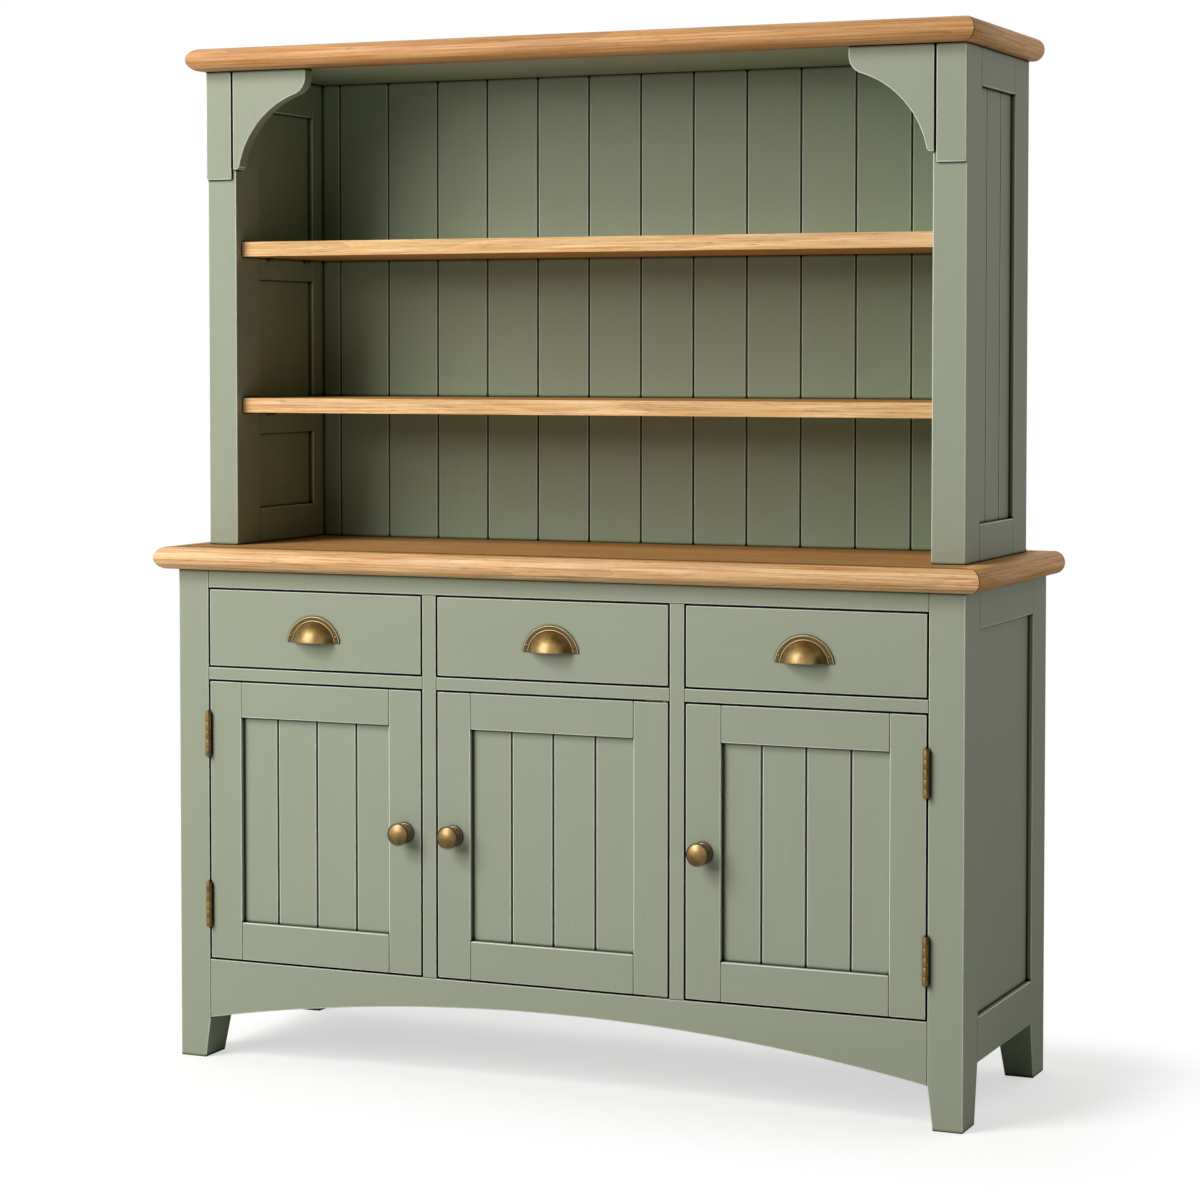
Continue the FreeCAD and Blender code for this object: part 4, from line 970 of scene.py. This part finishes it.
# %% [markdown]
# ## Butt hinges
# The outer doors hang on solid brass butts whose knuckles stand proud of the frame, which is all that
# shows when they are shut. Knuckles take turns: three belong to the leg and two to the door. Each is a
# short cylinder with eased rims, so a fine dark line shows between one and the next, and each leaf is a
# thin plate with three countersunk screws that shows when the door is open.

# %% Leaves, knuckles and pins
HINGE = 75 * MM
KNUCKLES = 5
KNUCKLE = 5 * MM
KNUCKLE_GAP = 0.12 * MM
KNUCKLE_ARRIS = 0.45
LEAF = 1.4 * MM
LEAF_WIDE = 18 * MM
LEAF_PLAY = 0.1 * MM
LEAF_ARRIS = 0.25
LEAF_SCREW = (3.2, 0.08, 0.8)
LEAF_SCREWS = (12 * MM, 37.5 * MM, 63 * MM)
LEAF_SCREW_IN = 0.55
PIN_HEAD = 4 * MM
PIN_HEAD_ARRIS = 0.9
PIN_HEAD_SPAN = (-1 * MM, 2 * MM)
STRIKE_ARRIS = 0.3
ROUND_SIDES = 40
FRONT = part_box("front_leg_left")[0].y
PIN_LOW, PIN_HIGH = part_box("hinge_pins")
HINGE_LOWS = sorted({round(box_of(part)[0].z, 4) for part in closed_solids("hinge_pins")})
AXIS = {"left": Vector((PIN_LOW.x + PIN_HEAD, PIN_LOW.y + PIN_HEAD, 0)),
        "right": Vector((PIN_HIGH.x - PIN_HEAD, PIN_LOW.y + PIN_HEAD, 0))}


def cylinder(centre, radius, low, high, round_mm):
    """An upright round bar with eased rims."""
    shape = bmesh.new()
    bmesh.ops.create_cone(shape, cap_ends=True, segments=ROUND_SIDES, radius1=radius, radius2=radius,
                          depth=high - low)
    move(shape, (centre.x, centre.y, (low + high) / 2))
    return ease(shape, round_mm)


def butt_leaf(side, axis, low, on_door):
    """One leaf of a butt hinge: its plate in the gap, its knuckles on the axis and its screws."""
    inner = -side if on_door else side
    near = axis.x + LEAF_PLAY * inner
    far = near + LEAF * inner
    left, right = min(near, far), max(near, far)
    plate = bar(Vector((left, FRONT, low)), Vector((right, FRONT + LEAF_WIDE, low + HINGE)))
    parts = [ease(plate, LEAF_ARRIS)]
    pitch = HINGE / KNUCKLES
    for index in range(1 if on_door else 0, KNUCKLES, 2):
        start = low + pitch * index + KNUCKLE_GAP
        end = low + pitch * (index + 1) - KNUCKLE_GAP
        parts.append(cylinder(axis, KNUCKLE, start, end, KNUCKLE_ARRIS))
        parts.append(bar(Vector((left, axis.y, start)), Vector((right, FRONT + MM, end))))
    for up in LEAF_SCREWS:
        screw = screw_head(*LEAF_SCREW)
        turn(screw, math.pi / 2 * inner, "Z")
        move(screw, (near, FRONT + LEAF_WIDE * LEAF_SCREW_IN, low + up))
        parts.append(screw)
    return parts


def shorter(part, length):
    """Whether a shape is less tall than a length."""
    low, high = box_of(part)
    return high.z - low.z < length


leg_parts = []
pin_parts = []
for tag, side in (("left", -1), ("right", 1)):
    node = f"door_{tag}_fittings"
    strikes = [part for part in closed_solids(node) if shorter(part, HINGE / 2)]
    door_parts = [ease(part, STRIKE_ARRIS) for part in strikes]
    for low in HINGE_LOWS:
        leg_parts += butt_leaf(side, AXIS[tag], low, on_door=False)
        door_parts += butt_leaf(side, AXIS[tag], low, on_door=True)
        bottom, top = (low + HINGE + step for step in PIN_HEAD_SPAN)
        pin_parts.append(cylinder(AXIS[tag], PIN_HEAD, bottom, top, PIN_HEAD_ARRIS))
    piece = fit(gathered(door_parts), node, "_brass", [BRASS])
    print(piece.name, len(piece.data.polygons), "faces")
fit(gathered(leg_parts), "hinge_leg_leaves", "_brass", [BRASS])
fit(gathered(pin_parts), "hinge_pins", "_brass", [BRASS])
print("hinges at", [round(low / MM, 1) for low in HINGE_LOWS], "mm")

# %% [markdown]
# ## Small fittings
# Steel angles behind the hutch hold it to the counter with pan-headed screws. The pivots and bushes of the
# middle door, the shelf pins, and the catches inside the cupboards are simple shapes that the measured
# model already has, so they only get their finishes.

# %% Angles, catches and pins
ANGLE_SCREW = (4.2, 2.2, 1.0)
ANGLE_SCREW_REACH = 26 * MM
ANGLE_SCREW_APART = 18 * MM
ANGLE_THICK = 3 * MM
ANGLE_ARRIS = 0.4
angle_parts = []
for part in closed_solids("hutch_angles"):
    low, high = box_of(part)
    for side in (-1, 1):
        across = (low.x + high.x + ANGLE_SCREW_APART * side) / 2
        on_back = (across, low.y + ANGLE_THICK, low.z + ANGLE_SCREW_REACH)
        on_counter = (across, low.y + ANGLE_SCREW_REACH, low.z + ANGLE_THICK)
        for place, angle, axis in ((on_back, math.pi, "Z"), (on_counter, -math.pi / 2, "X")):
            screw = screw_head(*ANGLE_SCREW)
            turn(screw, angle, axis)
            move(screw, place)
            angle_parts.append(screw)
    angle_parts.append(ease(part, ANGLE_ARRIS))
fit(gathered(angle_parts), "hutch_angles", "_screwed", [STEEL])

KEPT = {"antique_brass": BRASS, "zinc_steel": STEEL, "catch_plastic": PLASTIC}
kept = []
for node, slot in SLOT_OF.items():
    piece = frame["nodes"][node]
    if not piece.hide_render:
        piece.material_slots[0].material = KEPT[slot]
        kept.append(node)
print("kept as measured:", ", ".join(kept))

# %% [markdown]
# ## Studio
# The photograph was taken in a white studio. A large soft light at the upper left gives the shading, a weak
# one in front reaches the back of the hutch under its shelves, and a small high one gives the brass a
# highlight near the top of each dome. The floor is a pale disc that takes the shadow, and the world is
# plain white wherever the camera, a reflection or a clear surface looks at it. As a light it is only a
# faint fill in front and a stronger one from behind, so that colours render about as written.

# %% Floor and white background
FLOOR_SHADE = linear("#BCBCBA")
FLOOR_RADIUS = 7.0
FLOOR_SIDES = 64
FLOOR_LIFT = 0.58
FLOOR_CLEAR = 0.05
FLOOR_WHITE = 0.32
WHITE = (1, 1, 1, 1)


def pale_floor():
    """A matt white sweep. It keeps the shadow near the dresser and runs into the white background."""
    finish, tree = new_finish("matt_white_floor")
    camera_ray = add(tree, "ShaderNodeLightPath", {}, {}).outputs["Is Camera Ray"]
    base = add(tree, "ShaderNodeBsdfDiffuse", {}, {"Color": FLOOR_SHADE})
    lift = maths(tree, "MULTIPLY", camera_ray, FLOOR_LIFT)
    glow = add(tree, "ShaderNodeEmission", {}, {"Color": WHITE, "Strength": lift})
    near = add(tree, "ShaderNodeAddShader", {}, {0: base.outputs[0], 1: glow.outputs[0]})
    white = add(tree, "ShaderNodeEmission", {}, {"Color": WHITE, "Strength": 1.0})
    half = (CAD_BOX[1].x, CAD_BOX[1].y, 0)
    folded = add(tree, "ShaderNodeVectorMath", {"operation": "ABSOLUTE"}, {0: object_place(tree)})
    beyond = add(tree, "ShaderNodeVectorMath", {"operation": "SUBTRACT"}, {0: folded.outputs[0], 1: half})
    outside = add(tree, "ShaderNodeVectorMath", {"operation": "MAXIMUM"},
                  {0: beyond.outputs[0], 1: (0, 0, 0)})
    reach = add(tree, "ShaderNodeVectorMath", {"operation": "LENGTH"}, {0: outside.outputs[0]})
    far = add(tree, "ShaderNodeMapRange", {"interpolation_type": "SMOOTHSTEP"},
              {"Value": reach.outputs["Value"], "From Min": FLOOR_CLEAR, "From Max": FLOOR_WHITE})
    fade = maths(tree, "MULTIPLY", far.outputs["Result"], camera_ray)
    both = add(tree, "ShaderNodeMixShader", {}, {0: fade, 1: near.outputs[0], 2: white.outputs[0]})
    add(tree, "ShaderNodeOutputMaterial", {}, {"Surface": both.outputs[0]})
    return finish


sweep = bmesh.new()
bmesh.ops.create_circle(sweep, cap_ends=True, radius=FLOOR_RADIUS, segments=FLOOR_SIDES)
floor = standing(sweep, "studio_floor", [pale_floor()])
print("floor:", round(floor.dimensions.x, 1), "m across")

# %% World and lamps
FILL_FRONT = 0.07
FILL_REAR = 0.95
FILL_TURN = (-0.3, 0.7)
world = bpy.data.worlds.new("white_studio")
bpy.context.scene.world = world
world.use_nodes = True
tree = world.node_tree
tree.nodes.clear()
rays = add(tree, "ShaderNodeLightPath", {}, {})
seen = maths(tree, "ADD", rays.outputs["Is Camera Ray"], rays.outputs["Is Glossy Ray"])
shown = add(tree, "ShaderNodeMath", {"operation": "ADD", "use_clamp": True},
            {0: seen, 1: rays.outputs["Is Transmission Ray"]})
toward = add(tree, "ShaderNodeTexCoord", {}, {})
axes = add(tree, "ShaderNodeSeparateXYZ", {}, {"Vector": toward.outputs["Generated"]})
wall = add(tree, "ShaderNodeMapRange", {"interpolation_type": "SMOOTHSTEP"},
           {"Value": axes.outputs["Y"], "From Min": FILL_TURN[0], "From Max": FILL_TURN[1],
            "To Min": FILL_FRONT, "To Max": FILL_REAR})
level = add(tree, "ShaderNodeMix", {"data_type": "FLOAT"},
            {0: shown.outputs[0], 2: wall.outputs["Result"], 3: 1.0})
sky = add(tree, "ShaderNodeBackground", {}, {"Color": WHITE, "Strength": level.outputs[0]})
add(tree, "ShaderNodeOutputWorld", {}, {"Surface": sky.outputs[0]})


def softbox(name, place, target, wide, tall, watts):
    """A rectangular soft light aimed at a point."""
    lamp = bpy.data.lights.new(name, "AREA")
    lamp.shape = "RECTANGLE"
    lamp.size = wide
    lamp.size_y = tall
    lamp.energy = watts
    stand = bpy.data.objects.new(name, lamp)
    stand.location = place
    stand.rotation_euler = (Vector(target) - Vector(place)).to_track_quat("-Z", "Y").to_euler()
    stand.visible_camera = False
    bpy.context.scene.collection.objects.link(stand)


softbox("key_softbox", (-3.22, -4.53, 3.8), (0, -0.1, 0.9), 3.4, 4.4, 318)
softbox("front_softbox", (-1.9, -5.4, 2.2), (0, 0, 1.1), 2.2, 0.9, 32)
softbox("high_softbox", (-2.3, -3.3, 4.5), (0, -0.2, 0.9), 1.3, 1.3, 56)

# %% [markdown]
# ## Black cards
# In an all-white room a dome of brass would look flat, because it mirrors white from every side. A studio
# sets up black cards out of view, and the brass takes its dark side from them. Here one stands to the right
# and one hangs above, and only reflections can see them.

# %% Black cards for the brass to mirror
CARDS = {"black_card_right": ((2.4, -2.6, 0.1), (2.42, 0.2, 2.4)),
         "black_card_above": ((-1.6, -1.9, 2.6), (1.6, 0.4, 2.62))}
felt, tree = new_finish("black_felt")
nap = add(tree, "ShaderNodeBsdfDiffuse", {}, {"Color": linear("#0C0C0C")})
add(tree, "ShaderNodeOutputMaterial", {}, {"Surface": nap.outputs[0]})
for name, (low, high) in CARDS.items():
    card = standing(bar(Vector(low), Vector(high)), name, [felt])
    card.visible_camera = False
    card.visible_diffuse = False
    card.visible_shadow = False
print("cards:", ", ".join(CARDS))

# %% [markdown]
# ## Camera
# The camera stands to the right at chest height, turned towards the dresser, with a long lens. Its place
# was worked out from the photograph's corners. Verticals are nearly parallel in the photograph, which a
# lens shift gives: half of the downward look is shift, and a small tilt does the rest.

# %% Camera at the photograph's angle
CAMERA_PLACE = (2.0839, -4.85334, 1.21355)
CAMERA_TILT = 0.04485
CAMERA_TURN = 0.40685
view = bpy.data.cameras.new("photograph")
view.sensor_width = 36
view.lens = 93.798
view.shift_y = -0.09
camera = bpy.data.objects.new("photograph", view)
camera.location = CAMERA_PLACE
camera.rotation_euler = (math.pi / 2 - CAMERA_TILT, 0, CAMERA_TURN)
bpy.context.scene.collection.objects.link(camera)
bpy.context.scene.camera = camera
bpy.context.scene.view_settings.view_transform = "Standard"
print("camera", [round(v, 2) for v in camera.location], "lens", view.lens)
